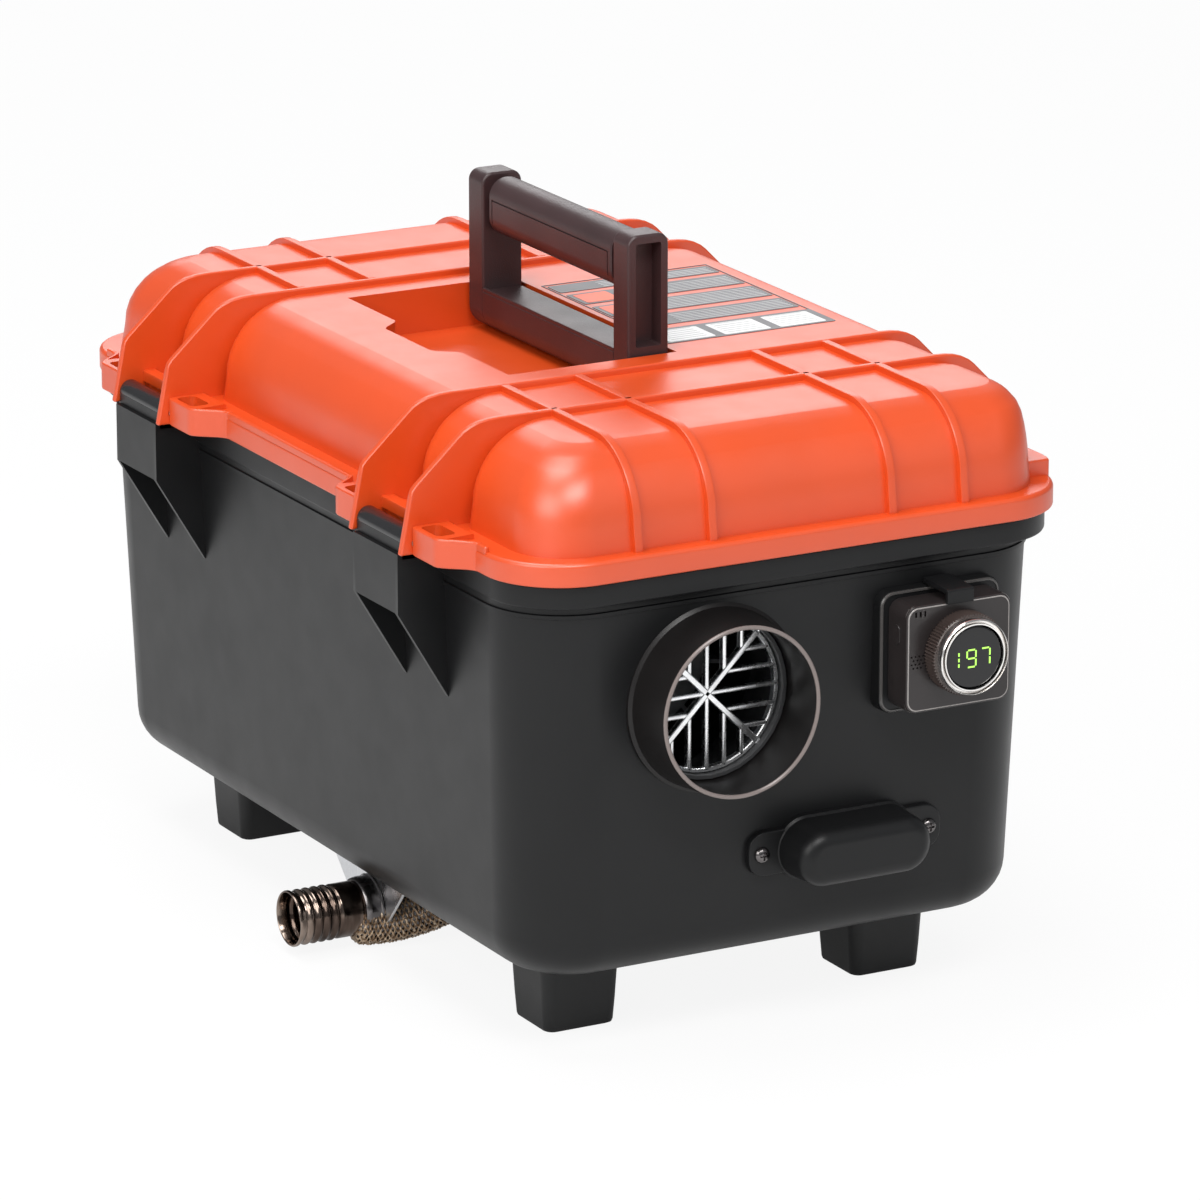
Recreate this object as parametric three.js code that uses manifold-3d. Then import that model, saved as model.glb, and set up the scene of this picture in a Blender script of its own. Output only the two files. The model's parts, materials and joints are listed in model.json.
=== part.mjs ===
// Portable diesel air heater in a tool-box case: a tub on four feet, a hinged lid with a folding
// carrying handle, and the heater, fuel tank and pump inside.
// Millimetres, +Z up. The outlet and the controller face -Y, the lid's hinge is on the -X side.
// While it is built, x = y = 0 is the middle of the tub; the last step puts the origin under the
// middle of the whole object's box.
import * as THREE from 'three';
import { mergeVertices } from 'three/addons/utils/BufferGeometryUtils.js';
import Module from 'manifold-3d';

const wasm = await Module();
wasm.setup();

// ---------------------------------------------------------------- driving dimensions
const gap = 0.3;                    // between pieces that touch
const play = 0.6;                   // beside pieces that turn

const wall = 3;                     // moulded wall of the tub and the lid
const tub = { halfX: 137.6, halfY: 228, corner: 38, bottom: 38.5, fillet: 20, draft: 0.033 };
const rimX = 2;                     // the rim and the lid sit a little towards the latches
const band = {
  halfX: tub.halfX + 4.4, halfY: tub.halfY + 5.6, corner: 37, bottom: 219.6, height: 11,
};
const foot = {
  centreX: tub.halfX - 56.2, centreY: tub.halfY - 69.3, sizeX: 36, sizeY: 34, corner: 5, flare: 2.5,
};

const flange = { halfX: band.halfX + 3, halfY: band.halfY + 3, corner: 38, height: 11 };
const dome = {
  halfX: flange.halfX - 12, halfY: flange.halfY - 8.1, corner: 28, height: 44.4, round: 34, latchRound: 14, draft: 1.5,
};
const hinge = { out: flange.halfX + 10.5, rise: 5.4, radius: 5.5, pin: 2.2 };
const finProud = 2.9;               // ribs and fins stand this far above the dome
const finThick = 3.6;
const fin = { knee: hinge.out + 2.1, kneeBelow: 29, foot: hinge.out + 8.1 };
// The fins' rounded upper ends: distance from the middle, and depth below the fins' top.
const finEnds = {
  hinge: [[dome.halfX - 21, 0], [dome.halfX - 9.4, 1], [dome.halfX - 1.6, 4.4]],
  latch: [[dome.halfX - 17.5, 0], [dome.halfX - 6, 1.2], [dome.halfX + 3.4, 6.4]],
};
const pairY = tub.halfY - 101;      // middle of each hinge and latch, front and rear
const rib = { inner: 46.5, outer: 84.5, width: 5, sunk: 2 };
const loop = { length: 38, reach: 13, wall: 3.4, height: 9, slot: 20 };
const step = { outward: 82, inward: 37, sunk: 6, run: 9, slant: 2, rise: 7.6 };
const seal = { inset: 6, width: 4.4, height: 2.2 };

const lug = { width: 44.4, reach: 23.4, height: 28, tip: 73, wall: 3 };
const latch = { rise: 9, radius: 5.2, plate: 3.6, length: 58, lip: 5, ease: 0.5 };
const keeper = { width: 36, below: 26, height: 20, drop: 34, clear: 0.8 };

const handle = { centreY: 2, x: 6.75, length: 160, leg: 15, depth: 21.5, height: 78, corner: 6 };
const channel = { width: 13.5, depth: 9, foot: 22, top: 4 };
const crossbar = 10;                // from the handle's pivot up to the top of its lower bar
const grip = { height: 28, neck: 3.4, neckInset: 3, sideInset: 1.2, corner: 9, drop: 1.5 };
const recess = { left: -68, right: 20.5, depth: 21.8, endGap: 2.3, notch: 11, notchHalf: 22 };

const outlet = {
  x: 95.6 - tub.halfX, z: 167.5, radius: 42.5, wall: 3, reach: 26, lip: 40.2, lipWall: 2, flange: 47,
  flangeThick: 2.5,
};
const guard = { bar: 2.4, cross: 3.2, depth: 3.5, pitch: 9, pairs: 3, rim: 2.2 };
const knob = {
  x: tub.halfX - 63.6, z: 178.5, radius: 18, base: 19, baseDepth: 8, depth: 13, bore: 14.9,
};
const dock = { x: knob.x - 1.4, z: 177, width: 63.8, height: 58, depth: 5, corner: 7 };
const control = { x: knob.x - 0.8, width: 55.6, height: 51, depth: 15.5, corner: 6 };
const clip = { x: knob.x - 1.5, width: 14, thick: 2.2, lip: 1, root: 3, over: 2.2 };
const pod = { x: knob.x - 46.5, z: 88.7, width: 69, height: 27, depth: 26, round: 5, flange: 3.5 };
const ear = { screw: 9.5, out: 16, halfZ: 10.5, corner: 8 };
const screw = { radius: 1.9, head: 3.8, headHeight: 2.2, length: 9 };

const stub = {
  mouth: -tub.halfX - 16.9, y: -20, z: 18, radius: 13.5, smooth: 12.3, bore: 10.9, length: 47,
};
const ridge = { count: 4, pitch: 4.4, groove: 1.2, lip: 4 };
const clamp = { radius: 14.6, width: 7, back: 2 };
const wrap = { radius: 11.6, bore: 8, riseX: outlet.x - 16, riseY: -43, lead: 5, straight: 25 };
// The pipe's way from the stub to its rise: along X, sideways and up from the stub's rear end.
const bend = [[17.5, -5, -2.8], [31.5, -14, -3], [43.5, -21, 4]];
const riseFrom = 23;                // the rise begins this far above the stub's axis
const hanger = { centreY: -18, halfTop: 40, halfLow: 16, low: 5, thick: 1.6, tab: 14 };

const inlet = { radius: 44, reach: 12, wall: 3, flange: 52, flangeThick: 3, bar: 2.4, pitch: 11 };
const socket = { x: tub.halfX - 75.6, z: 92, radius: 9.5, bore: 6.5, reach: 9, plate: 14, plateThick: 3 };

const heater = { halfX: 57, halfZ: 54, corner: 26, front: 42 - tub.halfY, rear: 122, wall: 2.5 };
const duct = { seat: 51, seatLength: 10, wall: 1.8, nose: 6 };
const exchanger = {
  radius: 34, bore: 28, front: -160, rear: 22, fins: 18, fin: 9, finThick: 2, foot: 14, footHalf: 4,
};
const burner = { radius: 25, bore: 22, length: 112, flange: 4 };
const glowPlug = { radius: 4, out: 13, length: 26, behind: 10 };
const motorPlate = { front: 54, thick: 3, boss: 26, windows: 6 };
const motor = { radius: 23, length: 34 };
const shaftRadius = 3;
const blower = { radius: 32, length: 12, hub: 9, vanes: 10, behind: 8 };
const fan = { radius: 45, length: 14, hub: 15, blades: 9, twist: 0.7, ahead: 4 };
const brain = { width: 52, height: 14 };
const pump = {
  x: outlet.x + 30, z: 74, front: tub.halfY - 116, radius: 14, length: 62, nose: 4, noseLength: 9,
};
const cradle = { halfX: 50, thick: 2, front: -140, rear: pump.front - 34, foot: 14 };

const tank = {
  left: outlet.x + heater.halfX + 13, right: tub.halfX - 15.6, front: 42 - tub.halfY, rear: 128,
  height: 134, corner: 14, wall: 3,
};
const filler = { x: (tank.left + tank.right) / 2, y: 70, radius: 20, bore: 16, height: 16 };
const cap = { radius: 24, skirt: 12, top: 4, grips: 10, gripProud: 1.2 };
const pumpClip = { width: 16, thick: 2.4, foot: 15 };
const strainer = { radius: 11, length: 24 };
const fuelHose = { radius: 2.6, tankZ: 74, lead: 4 };
// The fuel lines' bends: along X and Y (and up) from the pump's nose, and from the filter's side.
const heaterLine = [[-2, -13, 12], [-2, -15]];
const tankLine = [[22, -12], [46, -24], [58, -46], [60]];
const intake = { x: outlet.x + 28, y: 40, radius: 10, bore: 8, filter: 15, filterHeight: 18, clearance: 7 };

// ---------------------------------------------------------------- derived levels
const bandTop = band.bottom + band.height;
const lidBottom = bandTop + gap;
const lidTop = lidBottom + flange.height + dome.height;
const flangeTop = lidBottom + flange.height;
const ribTop = lidTop + finProud;
const floorTop = tub.bottom + wall;
const hingeZ = lidBottom + hinge.rise;
const latchZ = lidBottom + latch.rise;
const finOffset = lug.width / 2 + play + finThick / 2;
const recessFloor = lidTop - recess.depth;
const handleFoot = handle.depth / 2;
const handleZ = recessFloor + 1 + handleFoot;
const frontY = -tub.halfY;
const dockFront = frontY - dock.depth;
const controlBack = dockFront - gap;
const controlFront = controlBack - control.depth;

function wallInset(z) {
  return (band.bottom - z) * tub.draft;
}

// ---------------------------------------------------------------- finishes
const finishes = {
  orange: { color: 0xf0551f, roughness: 0.38, metalness: 0 },
  black: { color: 0x2b2c2e, roughness: 0.5, metalness: 0 },
  brownBlack: { color: 0x2c2222, roughness: 0.55, metalness: 0 },
  glossBlack: { color: 0x17181a, roughness: 0.15, metalness: 0 },
  rubber: { color: 0x1a1a1a, roughness: 0.8, metalness: 0 },
  steel: { color: 0xb9bcc0, roughness: 0.3, metalness: 1 },
  nickel: { color: 0x8f8172, roughness: 0.25, metalness: 1 },
  braid: { color: 0x8a7460, roughness: 0.6, metalness: 0.6 },
  aluminium: { color: 0xb4b7ba, roughness: 0.45, metalness: 1 },
  casing: { color: 0x3a3b3d, roughness: 0.55, metalness: 0 },
  tankWhite: { color: 0xd9d6c8, roughness: 0.45, metalness: 0 },
  brass: { color: 0xb08d4c, roughness: 0.35, metalness: 1 },
};

// ---------------------------------------------------------------- shape helpers
const object = new THREE.Group();

function signedVolume(position, index) {
  const corner = [new THREE.Vector3(), new THREE.Vector3(), new THREE.Vector3()];
  let sum = 0;
  for (let i = 0; i < index.count; i += 3) {
    corner.forEach((v, k) => v.fromBufferAttribute(position, index.getX(i + k)));
    sum += corner[0].dot(corner[1].cross(corner[2]));
  }
  return sum;
}

// A closed geometry as a solid. An outline may run either way round: faces are turned outward here.
function toSolid(geometry) {
  const bare = geometry.clone();
  bare.deleteAttribute('normal');
  bare.deleteAttribute('uv');
  const welded = mergeVertices(bare, 1e-4);
  const vertProperties = Float32Array.from(welded.attributes.position.array);
  const triVerts = Uint32Array.from(welded.index.array);
  if (signedVolume(welded.attributes.position, welded.index) < 0) {
    for (let i = 0; i < triVerts.length; i += 3) {
      [triVerts[i], triVerts[i + 1]] = [triVerts[i + 1], triVerts[i]];
    }
  }
  return new wasm.Manifold(new wasm.Mesh({ numProp: 3, vertProperties, triVerts }));
}

function toGeometry(solid) {
  const { vertProperties, triVerts, numProp } = solid.getMesh();
  const positions = new Float32Array((vertProperties.length / numProp) * 3);
  for (let i = 0; i < positions.length / 3; i += 1) {
    positions.set(vertProperties.subarray(i * numProp, i * numProp + 3), i * 3);
  }
  const geometry = new THREE.BufferGeometry();
  geometry.setAttribute('position', new THREE.BufferAttribute(positions, 3));
  geometry.setIndex(Array.from(triVerts));
  geometry.computeVertexNormals();
  return geometry;
}

function join(...solids) {
  return solids.reduce((sum, solid) => sum.add(solid));
}

function addPart(name, finish, solid) {
  const mesh = new THREE.Mesh(toGeometry(solid), new THREE.MeshStandardMaterial(finishes[finish]));
  mesh.name = name;
  object.add(mesh);
}

function box(x0, x1, y0, y1, z0, z1) {
  const geometry = new THREE.BoxGeometry(x1 - x0, y1 - y0, z1 - z0);
  geometry.translate((x0 + x1) / 2, (y0 + y1) / 2, (z0 + z1) / 2);
  return toSolid(geometry);
}

function lathe(profile, segments) {
  return new THREE.LatheGeometry(profile.map(([r, along]) => new THREE.Vector2(r, along)), segments);
}

// Solids of revolution; a profile is [radius, position along the axis] pairs.
function turnedX(profile, y, z, segments = 24) {
  return toSolid(lathe(profile, segments).rotateZ(-Math.PI / 2).translate(0, y, z));
}

function turnedY(profile, x, z, segments = 24) {
  return toSolid(lathe(profile, segments).translate(x, 0, z));
}

function turnedZ(profile, x, y, segments = 24) {
  return toSolid(lathe(profile, segments).rotateX(Math.PI / 2).translate(x, y, 0));
}

function rodProfile(radius, from, to) {
  return [[0, from], [radius, from], [radius, to], [0, to]];
}

function tubeProfile(outer, bore, from, to) {
  return [[bore, from], [outer, from], [outer, to], [bore, to], [bore, from]];
}

function extruded(outline, depth) {
  const shape = new THREE.Shape(outline.map(([u, v]) => new THREE.Vector2(u, v)));
  return new THREE.ExtrudeGeometry(shape, { depth, bevelEnabled: false });
}

// Prisms; an outline is a list of pairs: [y, z], [x, z] or [x, y].
function prismX(outline, x0, x1) {
  const turn = new THREE.Matrix4().makeBasis(
    new THREE.Vector3(0, 1, 0), new THREE.Vector3(0, 0, 1), new THREE.Vector3(1, 0, 0));
  return toSolid(extruded(outline, x1 - x0).applyMatrix4(turn).translate(x0, 0, 0));
}

function prismY(outline, y0, y1) {
  return toSolid(extruded(outline, y1 - y0).rotateX(Math.PI / 2).translate(0, y1, 0));
}

function prismZ(outline, z0, z1) {
  return toSolid(extruded(outline, z1 - z0).translate(0, 0, z0));
}

function arc(u, v, radius, from, to, steps) {
  return Array.from({ length: steps + 1 }, (_, i) => {
    const angle = THREE.MathUtils.degToRad(from + ((to - from) * i) / steps);
    return [u + radius * Math.cos(angle), v + radius * Math.sin(angle)];
  });
}

function roundedOutline(u, v, halfU, halfV, corner, steps = 4) {
  const flatU = halfU - corner;
  const flatV = halfV - corner;
  return [
    ...arc(u + flatU, v + flatV, corner, 0, 90, steps),
    ...arc(u - flatU, v + flatV, corner, 90, 180, steps),
    ...arc(u - flatU, v - flatV, corner, 180, 270, steps),
    ...arc(u + flatU, v - flatV, corner, 270, 360, steps),
  ];
}

// A closed solid through rings with the same number of points; ring = { outline: [[x, y]...], z }.
function loft(rings) {
  const count = rings[0].outline.length;
  const positions = rings.flatMap(({ outline, z }) => outline.flatMap(([x, y]) => [x, y, z]));
  const index = [];
  for (let r = 0; r + 1 < rings.length; r += 1) {
    for (let i = 0; i < count; i += 1) {
      const a = r * count + i;
      const b = r * count + ((i + 1) % count);
      index.push(a, b, b + count, a, b + count, a + count);
    }
  }
  for (let i = 1; i + 1 < count; i += 1) {
    const last = (rings.length - 1) * count;
    index.push(0, i + 1, i, last, last + i, last + i + 1);
  }
  const geometry = new THREE.BufferGeometry();
  geometry.setAttribute('position', new THREE.Float32BufferAttribute(positions, 3));
  geometry.setIndex(index);
  return toSolid(geometry);
}

function ring(centreX, halfX, halfY, corner, z, steps = 6) {
  return { outline: roundedOutline(centreX, 0, halfX, halfY, corner, steps), z };
}

// ---------------------------------------------------------------- tub
function tubRing(z, inset) {
  const cut = wallInset(z) + inset;
  return ring(0, tub.halfX - cut, tub.halfY - cut, Math.max(tub.corner - inset, 8), z);
}

function filletRings(bottom, radius, offset, steps = 4) {
  return Array.from({ length: steps + 1 }, (_, i) => {
    const angle = (Math.PI / 2) * (i / steps);
    const inset = offset + radius * (1 - Math.sin(angle));
    return tubRing(bottom + radius * (1 - Math.cos(angle)), inset);
  });
}

// The tub's outside, grown by a clearance, for cutting whatever sits on it.
function tubEnvelope(clearance) {
  const bottom = tub.bottom - clearance;
  return loft([...filletRings(bottom, tub.fillet, -clearance), tubRing(bandTop, -clearance)]);
}

function tubShell() {
  const outside = filletRings(tub.bottom, tub.fillet, 0);
  const under = tubRing(band.bottom, 0);
  const rimOutside = [band.bottom, bandTop].map(
    (z) => ring(rimX, band.halfX, band.halfY, band.corner, z));
  const inside = filletRings(floorTop, tub.fillet - wall, wall).reverse();
  return loft([...outside, under, ...rimOutside, tubRing(bandTop, wall), ...inside]);
}

// The box that carries a hinge or a latch: a plate held off the wall by two gussets.
function wallLug(side, centreY, width, reachX, top, height, drop) {
  const root = side * (tub.halfX - wallInset(top - drop) - wall / 2);
  const rootTop = side * (tub.halfX - wallInset(top) - wall / 2);
  const cheek = [[reachX, top], [rootTop, top], [root, top - drop], [reachX, top - height]];
  const inner = reachX - side * lug.wall;
  const front = centreY - width / 2;
  const rear = centreY + width / 2;
  const [plateLow, plateHigh] = [reachX, inner].sort((a, b) => a - b);
  const [capLow, capHigh] = [reachX, rootTop].sort((a, b) => a - b);
  return join(
    prismY(cheek, front, front + lug.wall),
    prismY(cheek, rear - lug.wall, rear),
    box(plateLow, plateHigh, front, rear, top - height, top),
    box(capLow, capHigh, front, rear, top - lug.wall, top),
  );
}

function hingeLug(centreY) {
  const out = rimX - hinge.out;
  const top = lidBottom - gap;
  const body = wallLug(-1, centreY, lug.width, -tub.halfX - lug.reach, top, lug.height, lug.tip);
  const front = centreY - lug.width / 2;
  const rear = centreY + lug.width / 2;
  const bar = turnedY(rodProfile(hinge.radius, front, rear), out, hingeZ, 16);
  const web = box(out - hinge.radius, out + hinge.radius, front, rear, top - lug.wall, hingeZ);
  return join(body, web, bar);
}

function latchKeeper(centreY) {
  const out = rimX + hinge.out - latch.plate / 2 - keeper.clear;
  const top = bandTop - keeper.below + keeper.height / 2;
  return wallLug(1, centreY, keeper.width, out, top, keeper.height, keeper.drop);
}

function makeTub() {
  const openings = [
    turnedY(rodProfile(outlet.radius + gap, -tub.halfY - 10, -tub.halfY + 20), outlet.x, outlet.z, 32),
    turnedY(rodProfile(inlet.radius + gap, tub.halfY - 20, tub.halfY + 10), outlet.x, outlet.z, 32),
    turnedY(rodProfile(socket.radius + gap, tub.halfY - 20, tub.halfY + 10), socket.x, socket.z, 16),
    turnedZ(rodProfile(wrap.radius + 1, tub.bottom - 5, floorTop + 5), wrap.riseX, wrap.riseY, 16),
    turnedZ(rodProfile(intake.radius + gap, tub.bottom - 5, floorTop + 5), intake.x, intake.y, 16),
    ...podScrewPlaces().map(
      (x) => turnedY(rodProfile(screw.radius + gap, -tub.halfY - 5, -tub.halfY + 15), x, pod.z, 10)),
    ...[-pairY, pairY].map((y) => turnedY(
      rodProfile(hinge.pin + gap, y - lug.width, y + lug.width), rimX - hinge.out, hingeZ, 10)),
  ];
  const body = join(
    tubShell(), hingeLug(-pairY), hingeLug(pairY), latchKeeper(-pairY), latchKeeper(pairY));
  addPart('tub', 'black', body.subtract(join(...openings)));
}

function makeFeet() {
  const top = tub.bottom - gap;
  const places = { front_left: [-1, -1], front_right: [1, -1], rear_left: [-1, 1], rear_right: [1, 1] };
  Object.entries(places).forEach(([name, [sideX, sideY]]) => {
    const level = (z, grow) => ({
      outline: roundedOutline(sideX * foot.centreX, sideY * foot.centreY,
        foot.sizeX / 2 + grow, foot.sizeY / 2 + grow, foot.corner + grow, 3),
      z,
    });
    addPart(`foot_${name}`, 'rubber', loft([level(0, 0), level(top, foot.flare)]));
  });
}

// ---------------------------------------------------------------- lid
// How far the dome's side has come in at a height, for a shoulder of a given radius.
function domeInset(z, round, offset) {
  const start = lidTop - round;
  if (z <= start) return (dome.draft * (z - flangeTop)) / (start - flangeTop);
  const radius = round + offset;
  const rise = Math.min(z - start, radius);
  return dome.draft + radius - Math.sqrt(radius * radius - rise * rise);
}

function domeRings(offset) {
  const steps = 6;
  const start = lidTop - dome.round;
  const heights = Array.from({ length: steps + 1 }, (_, i) => start
    + (dome.round + offset) * Math.sin((Math.PI / 2) * (i / steps)));
  return [flangeTop, ...heights].map((z) => {
    const wide = domeInset(z, dome.round, offset);
    const tight = domeInset(z, dome.latchRound, offset);
    const halfX = dome.halfX + offset - (wide + tight) / 2;
    return ring(rimX + (wide - tight) / 2, halfX, dome.halfY + offset - wide,
      Math.max(dome.corner + offset - wide / 2, 9), z);
  });
}

function lidCavity() {
  const rings = domeRings(-wall);
  const bottom = { ...rings[0], z: lidBottom - 5 };
  const depth = lidTop - recessFloor + wall;
  const keep = prismZ(recessOutline(wall), lidTop - depth, lidTop + 5);
  return loft([bottom, ...rings.slice(1)]).subtract(keep);
}

function recessOutline(grow) {
  const half = handle.length / 2 + recess.endGap + grow;
  const front = handle.centreY - half;
  const rear = handle.centreY + half;
  const left = recess.left - grow;
  const notch = left - recess.notch;
  const slope = recess.notch;
  return [
    [recess.right + grow, front], [recess.right + grow, rear], [left, rear],
    [left, recess.notchHalf + slope + grow], [notch, recess.notchHalf + grow],
    [notch, -recess.notchHalf - grow], [left, -recess.notchHalf - slope - grow], [left, front],
  ];
}

function finOutline() {
  const side = (sign, ends) => [
    ...ends.map(([out, below]) => [rimX + sign * out, ribTop - below]),
    [rimX + sign * fin.knee, ribTop - fin.kneeBelow],
    [rimX + sign * fin.foot, lidBottom],
  ];
  return [...side(1, finEnds.latch), ...side(-1, finEnds.hinge).reverse()];
}

// A rib's outline in [y, z]: a strip that follows the dome from the inner fin to the flange.
function ribOutline(sign) {
  const start = flangeTop + dome.height - dome.round;
  const centre = dome.halfY - dome.draft - dome.round;
  const inner = pairY - finOffset;
  const outside = arc(centre, start, dome.round + finProud, 90, 0, 6);
  const inside = arc(centre, start, dome.round - rib.sunk, 0, 90, 6);
  const outline = [
    [inner, ribTop], ...outside, [centre + dome.round + finProud, flangeTop - 1],
    [centre + dome.round - rib.sunk, flangeTop - 1], ...inside, [inner, lidTop - rib.sunk],
  ];
  return outline.map(([y, z]) => [sign * y, z]);
}

// A loop of the flange beside a fin on the hinge side.
function flangeLoop(centreY, side) {
  const near = centreY + side * (finOffset + finThick / 2 - 1);
  const far = near + side * loop.length;
  const [y0, y1] = [near, far].sort((a, b) => a - b);
  const edge = rimX - flange.halfX;
  const outer = edge - loop.reach;
  const body = box(outer, edge + 2, y0, y1, lidBottom, lidBottom + loop.height);
  const middle = (y0 + y1) / 2;
  const slot = box(outer + loop.wall, edge - loop.wall + 1, middle - loop.slot / 2,
    middle + loop.slot / 2, lidBottom - 1, flangeTop);
  return body.subtract(slot);
}

// A raised step of the flange behind a latch; its outer end runs back at a slant.
function latchStep(sign) {
  const edge = rimX + flange.halfX;
  const back = rimX + dome.halfX - step.sunk;
  const inner = sign * (pairY - step.inward);
  const outer = sign * (pairY + step.outward);
  return prismZ([
    [back, inner], [edge, inner], [edge, outer - sign * step.run],
    [edge - step.slant, outer], [back, outer],
  ], flangeTop - 1, flangeTop + step.rise);
}

function makeLid() {
  const flangeRings = [lidBottom, flangeTop].map(
    (z) => ring(rimX, flange.halfX, flange.halfY, flange.corner, z));
  const finYs = [-1, 1].flatMap((end) => [-finOffset, finOffset].map((off) => end * pairY + off));
  const ribXs = [-rib.outer, -rib.inner, rib.inner, rib.outer];
  const halfRib = rib.width / 2;
  const shell = join(
    loft([...flangeRings, ...domeRings(0)]),
    ...finYs.map((y) => prismY(finOutline(), y - finThick / 2, y + finThick / 2)),
    ...ribXs.flatMap((x) => [-1, 1].map(
      (sign) => prismX(ribOutline(sign), rimX + x - halfRib, rimX + x + halfRib))),
    ...[-pairY, pairY].flatMap((y) => [-1, 1].map((side) => flangeLoop(y, side))),
    latchStep(-1), latchStep(1),
  );
  const pinReach = finOffset + finThick;
  const cuts = [
    lidCavity(),
    prismZ(recessOutline(0), recessFloor, lidTop + 20),
    sealGroove(gap),
    ...[-pairY, pairY].flatMap((y) => [
      turnedY(rodProfile(hinge.pin + gap, y - pinReach, y + pinReach), rimX - hinge.out, hingeZ, 10),
      turnedY(rodProfile(hinge.pin + gap, y - pinReach, y + pinReach), rimX + hinge.out, latchZ, 10),
    ]),
    ...[-1, 1].map((sign) => handlePin(sign, gap)),
  ];
  addPart('lid', 'orange', shell.subtract(join(...cuts)));
}

function sealGroove(clearance) {
  const level = (inset, z) => ring(rimX, band.halfX - inset, band.halfY - inset,
    band.corner - inset, z);
  const bottom = clearance > 0 ? lidBottom - 1 : lidBottom;
  const top = lidBottom + seal.height + clearance;
  const outer = loft([bottom, top].map((z) => level(seal.inset - clearance, z)));
  const inner = loft([bottom - 1, top + 1].map((z) => level(seal.inset + seal.width + clearance, z)));
  return outer.subtract(inner);
}

function makeHingePins() {
  const reach = finOffset + finThick / 2;
  const places = { front: -pairY, rear: pairY };
  Object.entries(places).forEach(([name, y]) => {
    addPart(`hinge_pin_${name}`, 'steel',
      turnedY(rodProfile(hinge.pin, y - reach, y + reach), rimX - hinge.out, hingeZ, 10));
    addPart(`latch_pin_${name}`, 'steel',
      turnedY(rodProfile(hinge.pin, y - reach, y + reach), rimX + hinge.out, latchZ, 10));
    addPart(`latch_${name}`, 'black', latchPlate(y));
  });
}

// A latch hangs from its pin and lies over the keeper; its lip is bent out to be pulled.
function latchPlate(centreY) {
  const x = rimX + hinge.out;
  const half = lug.width / 2 - latch.ease;
  const front = centreY - half;
  const rear = centreY + half;
  const inner = x - latch.plate / 2;
  const outer = x + latch.plate / 2;
  const low = latchZ + latch.radius - latch.length;
  const outline = [
    [inner, latchZ], [inner, low], [outer, low], [outer + latch.lip, low - latch.lip],
    [outer + latch.lip + 1.5, low - latch.lip + 2.4], [outer + 1, low + latch.lip], [outer, latchZ],
  ];
  const barrel = turnedY(rodProfile(latch.radius, front, rear), x, latchZ, 16);
  const bore = turnedY(rodProfile(hinge.pin + gap, front - 1, rear + 1), x, latchZ, 10);
  return join(prismY(outline, front, rear), barrel).subtract(bore);
}

// ---------------------------------------------------------------- carrying handle
function handlePin(sign, clearance) {
  const end = handle.centreY + sign * (handle.length / 2 + recess.endGap + wall - 0.5);
  const start = handle.centreY + sign * (handle.length / 2 - handle.leg / 2);
  const [y0, y1] = [start, end].sort((a, b) => a - b);
  return turnedY(rodProfile(hinge.pin + clearance, y0 - clearance, y1 + clearance), handle.x, handleZ, 10);
}

function makeHandle() {
  const top = handleZ + handle.height - handleFoot;
  const half = handle.length / 2;
  const left = handle.x - handleFoot;
  const right = handle.x + handleFoot;
  const legOutline = [
    ...arc(handle.x, handleZ, handleFoot, 180, 360, 10),
    ...arc(right - handle.corner, top - handle.corner, handle.corner, 0, 90, 3),
    ...arc(left + handle.corner, top - handle.corner, handle.corner, 90, 180, 3),
  ];
  const barOutline = [
    ...arc(handle.x, handleZ, handleFoot, 180, 360, 10),
    [right, handleZ + crossbar], [left, handleZ + crossbar],
  ];
  const legs = [-1, 1].map((sign) => {
    const outer = handle.centreY + sign * half;
    const inner = outer - sign * handle.leg;
    const [y0, y1] = [inner, outer].sort((a, b) => a - b);
    const [c0, c1] = [outer + sign, outer - sign * channel.depth].sort((a, b) => a - b);
    const halfChannel = channel.width / 2;
    const hollow = box(handle.x - halfChannel, handle.x + halfChannel, c0, c1,
      handleZ + channel.foot, top - channel.top);
    return prismY(legOutline, y0, y1).subtract(hollow);
  });
  const inside = half - handle.leg + 1;
  const bar = prismY(barOutline, handle.centreY - inside, handle.centreY + inside);
  const pins = [-1, 1].map((sign) => handlePin(sign, gap));
  addPart('handle_frame', 'brownBlack', join(...legs, bar).subtract(join(...pins)));

  const halfInner = half - handle.leg - gap;
  const gripTop = top - grip.drop;
  const gripOutline = (inset) => roundedOutline(handle.x, gripTop - grip.height / 2,
    handleFoot - grip.sideInset - inset, grip.height / 2 - inset, grip.corner - inset, 4);
  const body = prismY(gripOutline(0), handle.centreY - halfInner + grip.neck,
    handle.centreY + halfInner - grip.neck);
  const neck = prismY(gripOutline(grip.neckInset), handle.centreY - halfInner,
    handle.centreY + halfInner);
  addPart('handle_grip', 'brownBlack', join(body, neck));
  addPart('handle_pin_front', 'steel', handlePin(-1, 0));
  addPart('handle_pin_rear', 'steel', handlePin(1, 0));
}

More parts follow.
